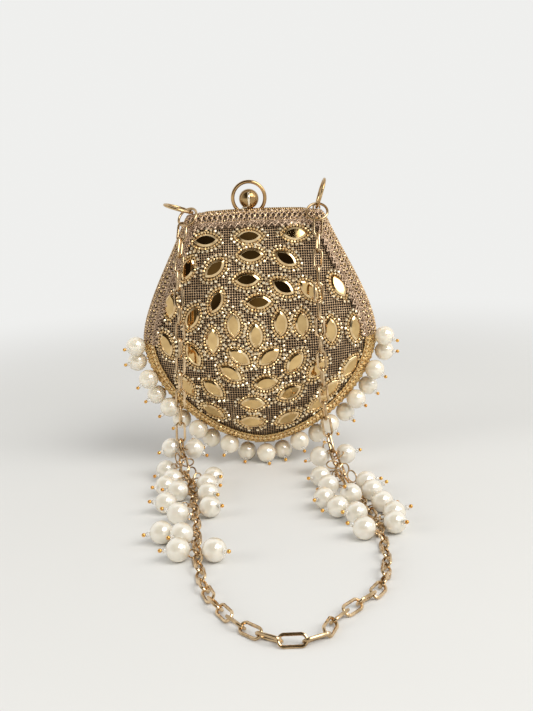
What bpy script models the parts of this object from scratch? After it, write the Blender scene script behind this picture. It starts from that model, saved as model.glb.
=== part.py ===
"""Mini metal clutch: a pear-shaped clamshell evening bag with a ring-and-ball clasp, a chain strap
and a pearl fringe.

Metres, +Z up. The two halves meet on the plane Y = 0, the front faces -Y and the lowest pearls stand
on Z = 0. Run with: blender --background --python part.py
"""

import math

import bmesh
import bpy
from mathutils import Matrix, Vector

MM = 0.001

# Outline of the closed clutch, seen from the front
BODY_WIDTH = 120.0 * MM
TOP_WIDTH = 69.0 * MM
BODY_HEIGHT = 121.5 * MM
WIDEST_UP = 55.5 * MM
TOP_BOW = 1.2 * MM
CORNER_RADIUS = 4.0 * MM
SIDE_LEAN = math.radians(20.0)
SIDE_UPPER_REACH = 19.0 * MM
SIDE_LOWER_REACH = 18.0 * MM
LOWER_ROUNDNESS = 1.7

# Dome of one half, from the parting plane outwards
BELLY_DEPTH = 24.0 * MM
BELLY_UP = 51.5 * MM
TOP_DOME = (2.0, 0.9)
SIDE_DOME = (2.2, 0.7)
BOTTOM_DOME = (2.5, 0.485)

# Layers of one half, from the outside in
BRAID_THICKNESS = 1.1 * MM
COVER_THICKNESS = 0.6 * MM
SHELL_THICKNESS = 1.0 * MM
LINING_THICKNESS = 0.6 * MM
LAYER_GAP = 0.45 * MM
UPPER_BRAID_WIDTH = 7.4 * MM
LOWER_BRAID_WIDTH = 5.0 * MM

# Frame hoops at the parting plane
SEAT_GAP = 0.3 * MM
FRAME_DEPTH = 1.7 * MM
FRAME_WIDTH = 4.4 * MM
FRAME_SETBACK = 0.3 * MM

# Clasp
CLASP_BALL_DIAMETER = 10.0 * MM
CLASP_RING_DIAMETER = 18.0 * MM
CLASP_WIRE = 1.7 * MM
CLASP_X = -2.6 * MM
CLASP_RING_UP = 6.0 * MM
BALL_CLEARANCE = 0.6 * MM
STALK_WIRE = 1.3 * MM
STALK_FOOT_OFFSET = 3.2 * MM

# Corner eyes and the rings in them
EYE_X = 31.4 * MM
EYE_WIRE = 0.9 * MM
EYE_CLEARANCE = 0.4 * MM
CORNER_RING_DIAMETER = 16.0 * MM
CORNER_RING_WIRE = 1.5 * MM
LEFT_RING_LEAN = math.radians(-72.0)
RIGHT_RING_LEAN = math.radians(18.0)

# Strap rings, each hanging from a corner ring
STRAP_RING_DIAMETER = 11.6 * MM
STRAP_RING_WIRE = 1.3 * MM
STRAP_RING_DROP = 1.5 * MM
STRAP_RING_FORWARD = 2.4 * MM
LEFT_RING_SLANT = math.radians(24.0)
RIGHT_RING_SLANT = math.radians(42.0)
LEFT_RING_SWING = math.radians(34.0)
RIGHT_RING_SWING = math.radians(0.0)
LEFT_RING_TURN = math.radians(-35.0)
RIGHT_RING_TURN = math.radians(0.0)

# Hinge under the bottom of the frames
HINGE_BACK = 3.0 * MM
HINGE_DROP = 1.4 * MM
HINGE_LENGTH = 10.5 * MM
KNUCKLE_DIAMETER = 2.2 * MM
PIN_DIAMETER = 1.0 * MM
PIN_CLEARANCE = 0.08 * MM
LEAF_THICKNESS = 0.6 * MM

# Pearl fringe
PEARL_DIAMETER = 10.0 * MM
FRINGE_COUNT = 21
FRINGE_BACK_ROW = 2.0 * MM
FRINGE_THREAD = 0.8 * MM
LEAST_HANG = 0.72
LOOSE_THREAD = 2.0 * MM
THREAD_SEAT = 0.33 * MM
THREAD_DIAMETER = 0.8 * MM
SEED_DIAMETER = 2.4 * MM
TIP_DIAMETER = 1.7 * MM
TIP_DIP = math.radians(28.0)
BEAD_STANDOFF = 0.2 * MM

# Chain strap, and the pearls that hang on it
STRAP_DIAMETER = 5.3 * MM
STRAP_STEP = 10.0 * MM
CLUSTER_LOOP_WIRE = 1.0 * MM

# Number of straight segments in half the outline: bottom, side, corner, top edge
OUTLINE_STEPS = (7, 6, 2, 3)
# Rings of the dome, as shares of the way from its deepest point to the rim
DOME_RINGS = (0.0, 0.42, 0.70, 0.87, 0.965, 1.0)

# What follows from the sizes above
PEARL_RADIUS = PEARL_DIAMETER / 2
BODY_BOTTOM = PEARL_DIAMETER + SEAT_GAP
BODY_TOP = BODY_BOTTOM + BODY_HEIGHT
BELLY_Z = BODY_BOTTOM + BELLY_UP
FRAME_FRONT = SEAT_GAP / 2 + FRAME_DEPTH
LAYER_START = FRAME_FRONT + SEAT_GAP
COVER_INSET = BRAID_THICKNESS + LAYER_GAP
SHELL_INSET = COVER_INSET + COVER_THICKNESS + LAYER_GAP
LINING_INSET = SHELL_INSET + SHELL_THICKNESS + LAYER_GAP
HINGE_Z = BODY_BOTTOM - HINGE_DROP
FRAME_BOTTOM = BODY_BOTTOM + FRAME_SETBACK
HALF_COLUMNS = sum(OUTLINE_STEPS)
COLUMNS = 2 * HALF_COLUMNS
WIDEST_COLUMN = OUTLINE_STEPS[0]

FRONT = -1
BACK = 1

ANTIQUE_GOLD = ("antique_gold", (0.56, 0.42, 0.20), 0.28, 1.0)
ROSE_GOLD = ("rose_gold_chain", (0.62, 0.47, 0.31), 0.25, 1.0)
BRAID_GOLD = ("gold_braid", (0.48, 0.32, 0.17), 0.55, 0.4)
MESH_BRONZE = ("bronze_mesh", (0.16, 0.10, 0.055), 0.5, 0.5)
SHELL_METAL = ("shell_metal", (0.30, 0.23, 0.14), 0.45, 1.0)
LINING_FABRIC = ("lining_fabric", (0.33, 0.22, 0.11), 0.85, 0.0)
PEARL_IVORY = ("pearl_ivory", (0.86, 0.82, 0.74), 0.22, 0.0)
STEEL_PIN = ("steel_pin", (0.55, 0.54, 0.52), 0.3, 1.0)


def clear_scene():
    for obj in list(bpy.data.objects):
        bpy.data.objects.remove(obj, do_unlink=True)


def new_collection(name):
    collection = bpy.data.collections.new(name)
    bpy.context.scene.collection.children.link(collection)
    return collection


def material(recipe):
    name, colour, roughness, metallic = recipe
    if name in bpy.data.materials:
        return bpy.data.materials[name]
    made = bpy.data.materials.new(name)
    made.use_nodes = True
    shader = made.node_tree.nodes["Principled BSDF"]
    shader.inputs["Base Color"].default_value = (*colour, 1.0)
    shader.inputs["Roughness"].default_value = roughness
    shader.inputs["Metallic"].default_value = metallic
    return made


def add_object(name, data, recipe, collection, smooth=True):
    obj = bpy.data.objects.new(name, data)
    collection.objects.link(obj)
    obj.data.materials.clear()
    obj.data.materials.append(material(recipe))
    if smooth and obj.type == "MESH":
        obj.data.shade_smooth()
        obj.data.set_sharp_from_angle(angle=math.radians(40.0))
    return obj


def mesh_from(bm, name):
    """Turns a finished bmesh into a mesh with its faces pointing out."""
    bmesh.ops.recalc_face_normals(bm, faces=bm.faces)
    if bm.calc_volume(signed=True) < 0:
        bmesh.ops.reverse_faces(bm, faces=bm.faces)
    mesh = bpy.data.meshes.new(name)
    bm.to_mesh(mesh)
    bm.free()
    return mesh


def bezier(points, share):
    """A point on the cubic curve through the first and last of four points."""
    a, b, c, d = points
    rest = 1.0 - share
    return a * rest**3 + b * (3 * rest**2 * share) + c * (3 * rest * share**2) + d * share**3


def outline():
    """The closed outline, anticlockwise seen from the front, from the bottom middle.

    The bottom is a superellipse up to the widest level, the side a curve from there to the top
    corner, the corner an arc, and the top edge bows up slightly to the middle.
    """
    bottom_steps, side_steps, corner_steps, top_steps = OUTLINE_STEPS
    half_width = BODY_WIDTH / 2
    widest_z = BODY_BOTTOM + WIDEST_UP
    corner = Vector((TOP_WIDTH / 2, BODY_TOP - TOP_BOW))
    up_side = Vector((-math.sin(SIDE_LEAN), math.cos(SIDE_LEAN)))
    along_top = Vector((-corner.x, 2 * TOP_BOW)).normalized()
    turn = up_side.angle(along_top)
    tangent = CORNER_RADIUS * math.tan(turn / 2)

    half = []
    for step in range(bottom_steps):
        angle = math.pi / 2 * step / bottom_steps
        power = 2 / LOWER_ROUNDNESS
        x = half_width * math.sin(angle) ** power
        z = widest_z - WIDEST_UP * math.cos(angle) ** power
        half.append(Vector((x, z)))

    side_end = corner - up_side * tangent
    side = (
        Vector((half_width, widest_z)),
        Vector((half_width, widest_z + SIDE_LOWER_REACH)),
        side_end - up_side * SIDE_UPPER_REACH,
        side_end,
    )
    half += [bezier(side, step / side_steps) for step in range(side_steps)]

    inward = Vector((-up_side.y, up_side.x))
    centre = side_end + inward * CORNER_RADIUS
    for step in range(corner_steps):
        angle = turn * step / corner_steps
        half.append(centre - inward * (CORNER_RADIUS * math.cos(angle))
                    + up_side * (CORNER_RADIUS * math.sin(angle)))

    top_start = corner + along_top * tangent
    for step in range(top_steps + 1):
        x = top_start.x * (1 - step / top_steps)
        half.append(Vector((x, BODY_TOP - TOP_BOW * (x / corner.x) ** 2)))

    mirrored = [Vector((-p.x, p.y)) for p in reversed(half[1:-1])]
    return half + mirrored


def inset(points, distance):
    """The closed outline moved inwards by a distance, point for point."""
    moved = []
    for index, point in enumerate(points):
        before = (point - points[index - 1]).normalized()
        after = (points[(index + 1) % len(points)] - point).normalized()
        inward = Vector((-(before + after).y, (before + after).x)).normalized()
        half_turn_cosine = inward.dot(Vector((-before.y, before.x)))
        moved.append(point + inward * (distance / half_turn_cosine))
    return moved


def dome_share(direction, share):
    """How far out the dome stands, 1 at its deepest point and 0 at the rim.

    The direction runs from the deepest point to the rim, and blends the shapes of the top, side
    and bottom of the dome.
    """
    upward = direction.normalized().y
    end = TOP_DOME if upward > 0 else BOTTOM_DOME
    blend = abs(upward)
    power = SIDE_DOME[0] + (end[0] - SIDE_DOME[0]) * blend
    fullness = SIDE_DOME[1] + (end[1] - SIDE_DOME[1]) * blend
    return max(0.0, 1.0 - share**power) ** fullness


def dome_point(rim_point, share, depth_inset, half):
    """A point of the dome between its deepest point (share 0) and a rim point (share 1)."""
    centre = Vector((0.0, BELLY_Z))
    reach = rim_point - centre
    flat = centre + reach * share
    rise = BELLY_DEPTH - LAYER_START - depth_inset
    depth = LAYER_START + rise * dome_share(reach, share)
    return Vector((flat.x, half * depth, flat.y))


def dome_layer(name, outer_inset, thickness, half, recipe, collection):
    """A domed layer of one half: a sphere folded into a cup.

    Its upper half becomes the outer surface, its lower half the inner one, and the band between
    them the flat rim on the seat plane.
    """
    bands = len(DOME_RINGS) - 1
    latitudes = 2 * bands + 1
    outer_rim = inset(outline(), outer_inset)
    inner_rim = inset(outline(), outer_inset + thickness)
    bm = bmesh.new()
    made = bmesh.ops.create_uvsphere(bm, u_segments=COLUMNS, v_segments=latitudes, radius=1.0)
    for vert in made["verts"]:
        latitude = round(math.acos(max(-1.0, min(1.0, vert.co.z))) / math.pi * latitudes)
        column = round(math.atan2(vert.co.y, vert.co.x) / math.tau * COLUMNS) % COLUMNS
        if latitude <= bands:
            vert.co = dome_point(outer_rim[column], DOME_RINGS[latitude], outer_inset, half)
        else:
            ring = DOME_RINGS[latitudes - latitude]
            vert.co = dome_point(inner_rim[column], ring, outer_inset + thickness, half)
    return add_object(name, mesh_from(bm, name), recipe, collection)


def braid_band(name, first, last, end_gap, width, half, recipe, collection):
    """A strip of braid on the cover, along the rim from one outline column to another.

    Each end stops short of its column by the end gap.
    """
    rim = inset(outline(), COVER_INSET - LAYER_GAP)
    edge = [rim[column % COLUMNS] for column in range(first, last + 1)]
    edge[0] = edge[0] + (edge[1] - edge[0]).normalized() * end_gap
    edge[-1] = edge[-1] + (edge[-2] - edge[-1]).normalized() * end_gap
    columns = last - first
    bm = bmesh.new()
    made = bmesh.ops.create_grid(bm, x_segments=columns, y_segments=2, size=1.0)
    for vert in made["verts"]:
        point = edge[round((vert.co.x + 1) / 2 * columns)]
        inwards = (vert.co.y + 1) / 2 * width
        reach = (point - Vector((0.0, BELLY_Z))).length
        vert.co = dome_point(point, 1 - inwards / reach, COVER_INSET - LAYER_GAP, half)
    mesh = bpy.data.meshes.new(name)
    if half == BACK:
        bmesh.ops.reverse_faces(bm, faces=bm.faces)
    bm.to_mesh(mesh)
    bm.free()
    band = add_object(name, mesh, recipe, collection)
    solid = band.modifiers.new("thickness", "SOLIDIFY")
    solid.thickness = BRAID_THICKNESS
    solid.offset = 1.0
    return band


def frame_hoop(name, half, recipe, collection):
    """A flat metal hoop with the outline of the rim, a 2D curve with a hole, extruded."""
    curve = bpy.data.curves.new(name, "CURVE")
    curve.dimensions = "2D"
    curve.fill_mode = "BOTH"
    curve.extrude = FRAME_DEPTH / 2
    for distance in (FRAME_SETBACK, FRAME_SETBACK + FRAME_WIDTH):
        points = inset(outline(), distance)
        spline = curve.splines.new("POLY")
        spline.points.add(len(points) - 1)
        for target, point in zip(spline.points, points):
            target.co = (point.x, point.y, 0.0, 1.0)
        spline.use_cyclic_u = True
    hoop = add_object(name, curve, recipe, collection)
    hoop.rotation_euler = (math.pi / 2, 0.0, 0.0)
    hoop.location = (0.0, half * (SEAT_GAP + FRAME_DEPTH) / 2, 0.0)
    return hoop


def wire(name, points, diameter, recipe, collection, resolution=2):
    """A round wire through points, with filled ends."""
    curve = bpy.data.curves.new(name, "CURVE")
    curve.dimensions = "3D"
    curve.bevel_depth = diameter / 2
    curve.bevel_resolution = resolution
    curve.use_fill_caps = True
    spline = curve.splines.new("POLY")
    spline.points.add(len(points) - 1)
    for target, point in zip(spline.points, points):
        target.co = (*point, 1.0)
    return add_object(name, curve, recipe, collection)


def as_mesh(curve_object):
    """Replaces a curve object by its mesh, with the caps welded on, ready for a Boolean."""
    evaluated = curve_object.evaluated_get(bpy.context.evaluated_depsgraph_get())
    mesh = bpy.data.meshes.new_from_object(evaluated)
    bm = bmesh.new()
    bm.from_mesh(mesh)
    bmesh.ops.remove_doubles(bm, verts=bm.verts, dist=0.001 * MM)
    bmesh.ops.recalc_face_normals(bm, faces=bm.faces)
    bm.to_mesh(mesh)
    bm.free()
    name = curve_object.name
    made = bpy.data.objects.new(name + "_mesh", mesh)
    curve_object.users_collection[0].objects.link(made)
    made.matrix_world = curve_object.matrix_world
    bpy.data.objects.remove(curve_object, do_unlink=True)
    made.name = name
    return made


def ball(bm, centre, diameter, segments, rings):
    place = Matrix.Translation(centre)
    bmesh.ops.create_uvsphere(
        bm, u_segments=segments, v_segments=rings, radius=diameter / 2, matrix=place
    )


def ball_object(name, centre, diameter, segments, rings, recipe, collection):
    bm = bmesh.new()
    ball(bm, centre, diameter, segments, rings)
    return add_object(name, mesh_from(bm, name), recipe, collection)


def rod_object(name, start, end, diameter, sides, recipe, collection):
    """A plain cylinder between two points."""
    axis = end - start
    place = Matrix.Translation((start + end) / 2) @ axis.to_track_quat("Z", "Y").to_matrix().to_4x4()
    bm = bmesh.new()
    bmesh.ops.create_cone(
        bm, cap_ends=True, segments=sides, radius1=diameter / 2, radius2=diameter / 2,
        depth=axis.length, matrix=place,
    )
    return add_object(name, mesh_from(bm, name), recipe, collection)


def box_object(name, low, high, recipe, collection):
    low, high = Vector(low), Vector(high)
    size = high - low
    bm = bmesh.new()
    place = Matrix.Translation((low + high) / 2) @ Matrix.Diagonal((*size, 1.0))
    bmesh.ops.create_cube(bm, size=1.0, matrix=place)
    return add_object(name, mesh_from(bm, name), recipe, collection, smooth=False)


def combine(target, tool, operation, tools):
    """Adds a live Boolean, and moves the tool out of the parts' collection."""
    modifier = target.modifiers.new(operation.lower() + "_" + tool.name, "BOOLEAN")
    modifier.operation = operation
    modifier.object = tool
    for collection in list(tool.users_collection):
        collection.objects.unlink(tool)
    tools.objects.link(tool)
    tool.hide_render = True
    tool.display_type = "WIRE"


def torus_object(name, centre, diameter, wire_diameter, rotation, recipe, collection, segments=20):
    """A closed wire ring, its outer diameter given, lying in its local XY plane."""
    bpy.ops.mesh.primitive_torus_add(
        major_segments=segments, minor_segments=6,
        major_radius=(diameter - wire_diameter) / 2, minor_radius=wire_diameter / 2,
    )
    made = bpy.context.active_object
    mesh = made.data
    bpy.data.objects.remove(made, do_unlink=True)
    ring = add_object(name, mesh, recipe, collection)
    ring.data.name = name
    ring.rotation_mode = "QUATERNION"
    ring.rotation_quaternion = rotation.to_quaternion()
    ring.location = centre
    return ring


def top_edge_z(x, setback):
    """Height of the frame's top edge at a place along it."""
    points = inset(outline(), setback)
    top = [p for p in points if p.y > BELLY_Z]
    for a, b in zip(top, top[1:]):
        if min(a.x, b.x) <= x <= max(a.x, b.x) and a.x != b.x:
            return a.y + (b.y - a.y) * (x - a.x) / (b.x - a.x)
    return BODY_TOP - setback


def add_pivot(name, place, children, collection):
    """An empty on a joint's axis, with the pieces that turn about it as children."""
    pivot = bpy.data.objects.new(name, None)
    collection.objects.link(pivot)
    pivot.location = place
    for child in children:
        child.parent = pivot
        child.location = child.location - pivot.location


def build_half(side_name, half, collection):
    """Frame, lining, shell, cover and the two braids of one half."""
    frame_hoop(side_name + "_frame", half, ANTIQUE_GOLD, collection)
    dome_layer(side_name + "_lining", LINING_INSET, LINING_THICKNESS, half, LINING_FABRIC, collection)
    dome_layer(side_name + "_shell", SHELL_INSET, SHELL_THICKNESS, half, SHELL_METAL, collection)
    dome_layer(side_name + "_cover", COVER_INSET, COVER_THICKNESS, half, MESH_BRONZE, collection)
    braid_band(
        side_name + "_upper_braid", WIDEST_COLUMN, COLUMNS - WIDEST_COLUMN, 0.0, UPPER_BRAID_WIDTH,
        half, BRAID_GOLD, collection,
    )
    braid_band(
        side_name + "_lower_braid", COLUMNS - WIDEST_COLUMN, COLUMNS + WIDEST_COLUMN,
        2 * SEAT_GAP, LOWER_BRAID_WIDTH, half, BRAID_GOLD, collection,
    )


def build_clasp(collection, tools):
    """The ball on its stalk on the front frame, and the ring standing on the back frame."""
    frame_top = top_edge_z(CLASP_X, FRAME_SETBACK)
    mid_back = (SEAT_GAP + FRAME_DEPTH) / 2
    radius = (CLASP_RING_DIAMETER - CLASP_WIRE) / 2
    centre_z = frame_top + CLASP_RING_UP
    foot_z = frame_top + SEAT_GAP + CLASP_WIRE / 4
    foot_angle = math.asin((centre_z - foot_z) / radius)
    arc_steps = 26
    sweep = math.pi + 2 * foot_angle
    arc = []
    for step in range(arc_steps + 1):
        angle = -foot_angle + sweep * step / arc_steps
        arc.append((CLASP_X + radius * math.cos(angle), mid_back, centre_z + radius * math.sin(angle)))
    wire("clasp_ring", arc, CLASP_WIRE, ANTIQUE_GOLD, collection)

    ball_radius = CLASP_BALL_DIAMETER / 2
    ball_z = frame_top + BALL_CLEARANCE + ball_radius
    ball_y = mid_back
    clasp_ball = ball_object(
        "clasp_ball", (CLASP_X, ball_y, ball_z), CLASP_BALL_DIAMETER, 16, 10, ANTIQUE_GOLD, collection
    )
    front = ball_y - ball_radius - STALK_WIRE / 4
    foot_x = CLASP_X - STALK_FOOT_OFFSET
    foot_top = frame_top + STALK_WIRE
    stalk_points = (
        Vector((CLASP_X, front + ball_radius * 0.32, ball_z + ball_radius * 0.64)),
        Vector((CLASP_X, front, ball_z + ball_radius * 0.16)),
        Vector((CLASP_X, front + ball_radius * 0.08, ball_z - ball_radius * 0.52)),
        Vector((CLASP_X - STALK_WIRE / 2, front + ball_radius * 0.44, foot_top + SEAT_GAP)),
        Vector((foot_x + SEAT_GAP, -mid_back - SEAT_GAP / 2, foot_top)),
        Vector((foot_x, -mid_back, frame_top + SEAT_GAP + STALK_WIRE / 8)),
    )
    stalk = as_mesh(
        wire("clasp_stalk", smooth_route(stalk_points, 1.2 * MM), STALK_WIRE, ANTIQUE_GOLD, collection)
    )
    combine(clasp_ball, stalk, "UNION", tools)


def eye_place(side):
    """Centre of the corner ring's wire where it runs through the eye."""
    x = side * EYE_X
    frame_top = top_edge_z(x, FRAME_SETBACK)
    return Vector((x, -(SEAT_GAP + FRAME_DEPTH) / 2, frame_top + SEAT_GAP + CORNER_RING_WIRE / 2))


def build_eye(name, place, collection):
    """An arch of wire on the frame's top edge, for a corner ring to swing in."""
    radius = CORNER_RING_WIRE / 2 + EYE_CLEARANCE + EYE_WIRE / 2
    arch_steps = 8
    arch = []
    for step in range(arch_steps + 1):
        angle = math.pi * step / arch_steps
        arch.append(place + Vector((radius * math.cos(angle), 0.0, radius * math.sin(angle))))
    feet = []
    for x in (place.x + radius, place.x - radius):
        feet.append(Vector((x, place.y, top_edge_z(x, FRAME_SETBACK) + SEAT_GAP)))
    wire(name, [feet[0], *arch, feet[1]], EYE_WIRE, ANTIQUE_GOLD, collection, resolution=1)


def build_corner_ring(side_name, place, lean, collection):
    """The ring through an eye, leaning sideways, on an empty on its swing axis."""
    reach = (CORNER_RING_DIAMETER - CORNER_RING_WIRE) / 2
    outward = Vector((math.sin(lean), 0.0, math.cos(lean)))
    across = Vector((0.0, 1.0, 0.0))
    normal = outward.cross(across)
    basis = Matrix((across, normal.cross(across), normal)).transposed()
    ring = torus_object(
        side_name + "_corner_ring", place + outward * reach, CORNER_RING_DIAMETER,
        CORNER_RING_WIRE, basis, ANTIQUE_GOLD, collection, segments=24,
    )
    add_pivot(side_name + "_ring_pivot", place, [ring], collection)


def build_strap_ring(name, place, slant, swing, turn, collection):
    """The ring that hangs through a corner ring, slanting over the braid; returns its lowest point."""
    inner_top = place + Vector((0.0, -STRAP_RING_FORWARD, STRAP_RING_DROP))
    sideways = -math.cos(slant) * math.sin(swing)
    down = Vector((sideways, -math.sin(slant), -math.cos(slant) * math.cos(swing)))
    side_axis = Vector((math.cos(turn), math.sin(turn), 0.0))
    side_axis = (side_axis - down * side_axis.dot(down)).normalized()
    face = side_axis.cross(down)
    basis = Matrix((side_axis, face.cross(side_axis), face)).transposed()
    centre = inner_top + down * (STRAP_RING_DIAMETER / 2 - STRAP_RING_WIRE)
    torus_object(
        name, centre, STRAP_RING_DIAMETER, STRAP_RING_WIRE, basis, ROSE_GOLD, collection,
    )
    return centre + down * (STRAP_RING_DIAMETER / 2)


def build_corner(side_name, side, lean, strap_ring_angles, collection):
    """Eye, corner ring and strap ring of one top corner; returns where the chain starts."""
    place = eye_place(side)
    build_eye(side_name + "_eye", place, collection)
    build_corner_ring(side_name, place, lean, collection)
    return build_strap_ring(side_name + "_strap_ring", place, *strap_ring_angles, collection)


def build_hinge(collection, tools):
    """Two leaves with knuckles under the frames, and the pin through them."""
    third = HINGE_LENGTH / 3
    axis = Vector((0.0, HINGE_BACK, HINGE_Z))
    leaf_top = HINGE_Z + KNUCKLE_DIAMETER / 2
    seat = FRAME_BOTTOM - SEAT_GAP
    near = SEAT_GAP / 2
    gap = SEAT_GAP / 2
    front_leaf = box_object(
        "front_hinge_leaf", (-HINGE_LENGTH / 2, -near - FRAME_DEPTH, leaf_top - LEAF_THICKNESS),
        (HINGE_LENGTH / 2, -near, seat), ANTIQUE_GOLD, collection,
    )
    back_leaf = box_object(
        "back_hinge_leaf", (-third / 2 + gap, near, leaf_top - LEAF_THICKNESS),
        (third / 2 - gap, near + FRAME_DEPTH, seat), ANTIQUE_GOLD, collection,
    )
    spans = (
        (front_leaf, -HINGE_LENGTH / 2, -third / 2),
        (front_leaf, third / 2, HINGE_LENGTH / 2),
        (back_leaf, -third / 2 + gap, third / 2 - gap),
    )
    step = LEAF_THICKNESS / 6
    for number, (leaf, low_x, high_x) in enumerate(spans):
        leaf_side = BACK if leaf is back_leaf else FRONT
        tongue = box_object(
            f"hinge_tongue_{number}",
            (low_x + step, leaf_side * (near + FRAME_DEPTH / 2), leaf_top - LEAF_THICKNESS + step),
            (high_x - step, HINGE_BACK, leaf_top - step), ANTIQUE_GOLD, collection,
        )
        combine(leaf, tongue, "UNION", tools)
        knuckle = rod_object(
            f"hinge_knuckle_{number}", axis + Vector((low_x, 0, 0)), axis + Vector((high_x, 0, 0)),
            KNUCKLE_DIAMETER, 12, ANTIQUE_GOLD, collection,
        )
        combine(leaf, knuckle, "UNION", tools)
    bore_end = Vector((HINGE_LENGTH, 0.0, 0.0))
    for leaf in (front_leaf, back_leaf):
        bore = rod_object(
            leaf.name + "_bore", axis - bore_end, axis + bore_end,
            PIN_DIAMETER + 2 * PIN_CLEARANCE, 12, ANTIQUE_GOLD, collection,
        )
        combine(leaf, bore, "DIFFERENCE", tools)
    pin_end = Vector((HINGE_LENGTH / 2, 0.0, 0.0))
    rod_object("hinge_pin", axis - pin_end, axis + pin_end, PIN_DIAMETER, 12, STEEL_PIN, collection)


def along_lower_rim(count):
    """Evenly spaced places along the lower outline, widest level to widest level.

    Each comes as the outline point and its outward direction.
    """
    points = outline()
    lower = [points[c % COLUMNS] for c in range(-WIDEST_COLUMN, WIDEST_COLUMN + 1)]
    lengths = [(b - a).length for a, b in zip(lower, lower[1:])]
    total = sum(lengths)
    places = []
    for number in range(count):
        target = total * number / (count - 1)
        index = 0
        while index < len(lengths) - 1 and target > lengths[index]:
            target -= lengths[index]
            index += 1
        share = target / lengths[index]
        point = lower[index].lerp(lower[index + 1], share)
        run = lower[index + 1] - lower[index]
        places.append((point, Vector((run.y, -run.x)).normalized()))
    return places


def pearl_drop(name, centre, anchor, tip_direction, collection, tools):
    """One drop of the fringe: a thread up to the braid, a pearl, a seed bead and a tip bead."""
    drop = ball_object(name, centre, PEARL_DIAMETER, 8, 6, PEARL_IVORY, collection)
    thread = rod_object(
        name + "_thread", centre, anchor, THREAD_DIAMETER, 6, PEARL_IVORY, collection
    )
    combine(drop, thread, "UNION", tools)
    seed_place = centre + tip_direction * (PEARL_RADIUS + BEAD_STANDOFF)
    seed = ball_object(name + "_seed", seed_place, SEED_DIAMETER, 6, 4, PEARL_IVORY, collection)
    combine(drop, seed, "UNION", tools)
    tip_place = seed_place + tip_direction * (SEED_DIAMETER + BEAD_STANDOFF) / 2
    tip = ball_object(name + "_tip", tip_place, TIP_DIAMETER, 6, 4, PEARL_IVORY, collection)
    combine(drop, tip, "UNION", tools)


def build_fringe(collection, tools):
    """Pearl drops round the lower rim, in two rows that take turns.

    The rows stand far enough apart for neighbours to clear each other, and a pearl hangs outwards
    from the rim by at least a set share of its radius, to clear the braid.
    """
    places = along_lower_rim(FRINGE_COUNT)
    pitch = (places[1][0] - places[0][0]).length
    apart = math.sqrt(max(0.0, (PEARL_DIAMETER + SEAT_GAP) ** 2 - pitch**2))
    rows = (FRINGE_BACK_ROW, FRINGE_BACK_ROW + apart)
    for number, (rim, outward) in enumerate(places):
        forward = rows[(number + 1) % 2]
        anchor = Vector((rim.x, -LAYER_START - BRAID_THICKNESS + THREAD_SEAT, rim.y))
        anchor += Vector((outward.x, 0.0, outward.y)) * SEAT_GAP
        sideways = forward + anchor.y
        reach = PEARL_RADIUS + FRINGE_THREAD
        out = math.sqrt(max(reach**2 - sideways**2, (PEARL_RADIUS * LEAST_HANG) ** 2))
        centre = anchor + Vector((outward.x * out, 0.0, outward.y * out))
        centre.y = -forward
        if centre.z < PEARL_RADIUS + LOOSE_THREAD:
            centre.z = PEARL_RADIUS
        tip = Vector((outward.x, -1.0, outward.y)).normalized()
        lowest = -math.sin(TIP_DIP)
        if tip.z < lowest:
            tip = Vector((tip.x, tip.y, 0.0)).normalized() * math.cos(TIP_DIP)
            tip.z = lowest
        pearl_drop(f"fringe_pearl_{number + 1:02d}", centre, anchor, tip, collection, tools)


def smooth_route(points, step):
    """Points about a step apart on a smooth curve through the given points."""
    ends = [2 * points[0] - points[1], *points, 2 * points[-1] - points[-2]]
    dense = []
    samples = 24
    for before, start, end, after in zip(ends, ends[1:], ends[2:], ends[3:]):
        handles = (start, start + (end - before) / 6, end - (after - start) / 6, end)
        dense += [bezier(handles, s / samples) for s in range(samples)]
    dense.append(points[-1])
    total = sum((b - a).length for a, b in zip(dense, dense[1:]))
    count = max(2, round(total / step))
    route = [dense[0]]
    walked = 0.0
    for a, b in zip(dense, dense[1:]):
        walked += (b - a).length
        if walked >= total * len(route) / count and len(route) < count:
            route.append(b)
    route.append(dense[-1])
    return route


def strap_points(left_end, right_end):
    """The strap's route: down the front, through the left pearls, round on the table and back.

    Both ends stand off from the strap rings, forwards and down, to clear the ring and the braid.
    """
    away = Vector((0.0, -0.6, -0.8)) * (SEAT_GAP + STRAP_DIAMETER / 8)
    left_start = left_end + away
    right_start = right_end + away
    middle = [
        (-38.9, -17.0, 104.0), (-39.1, -22.0, 84.0), (-39.9, -25.5, 60.0), (-41.2, -28.0, 36.0),
        (-41.6, -30.5, 20.0), (-39.8, -36.5, 9.0), (-36.0, -50.0, 6.2), (-34.0, -67.0, 6.0),
        (-31.8, -88.0, 6.0), (-30.0, -108.0, 5.6), (-29.0, -126.0, 3.4), (-27.3, -142.0, 2.8),
        (-24.0, -161.0, 2.8), (-17.8, -178.0, 2.8), (-8.0, -194.0, 2.8), (5.0, -203.5, 2.8),
        (17.5, -200.5, 2.8), (23.5, -189.0, 2.8), (32.0, -178.5, 2.8), (41.0, -167.0, 2.8),
        (45.8, -149.0, 2.8), (47.4, -130.0, 3.4), (47.6, -112.0, 5.6), (46.2, -93.0, 6.0),
        (42.8, -75.0, 6.0), (39.0, -57.0, 6.2), (35.5, -41.0, 8.6), (32.6, -32.0, 18.0),
        (30.8, -29.0, 34.0), (30.0, -27.5, 58.0), (29.8, -24.5, 82.0), (30.2, -19.0, 103.0),
    ]
    return [left_start] + [Vector(p) * MM for p in middle] + [right_start]


def build_strap(left_end, right_end, collection):
    """The chain strap as one plain tube of the links' width."""
    route = smooth_route(strap_points(left_end, right_end), STRAP_STEP)
    wire("strap_chain", route, STRAP_DIAMETER, ROSE_GOLD, collection, resolution=2)
    return route


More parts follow.
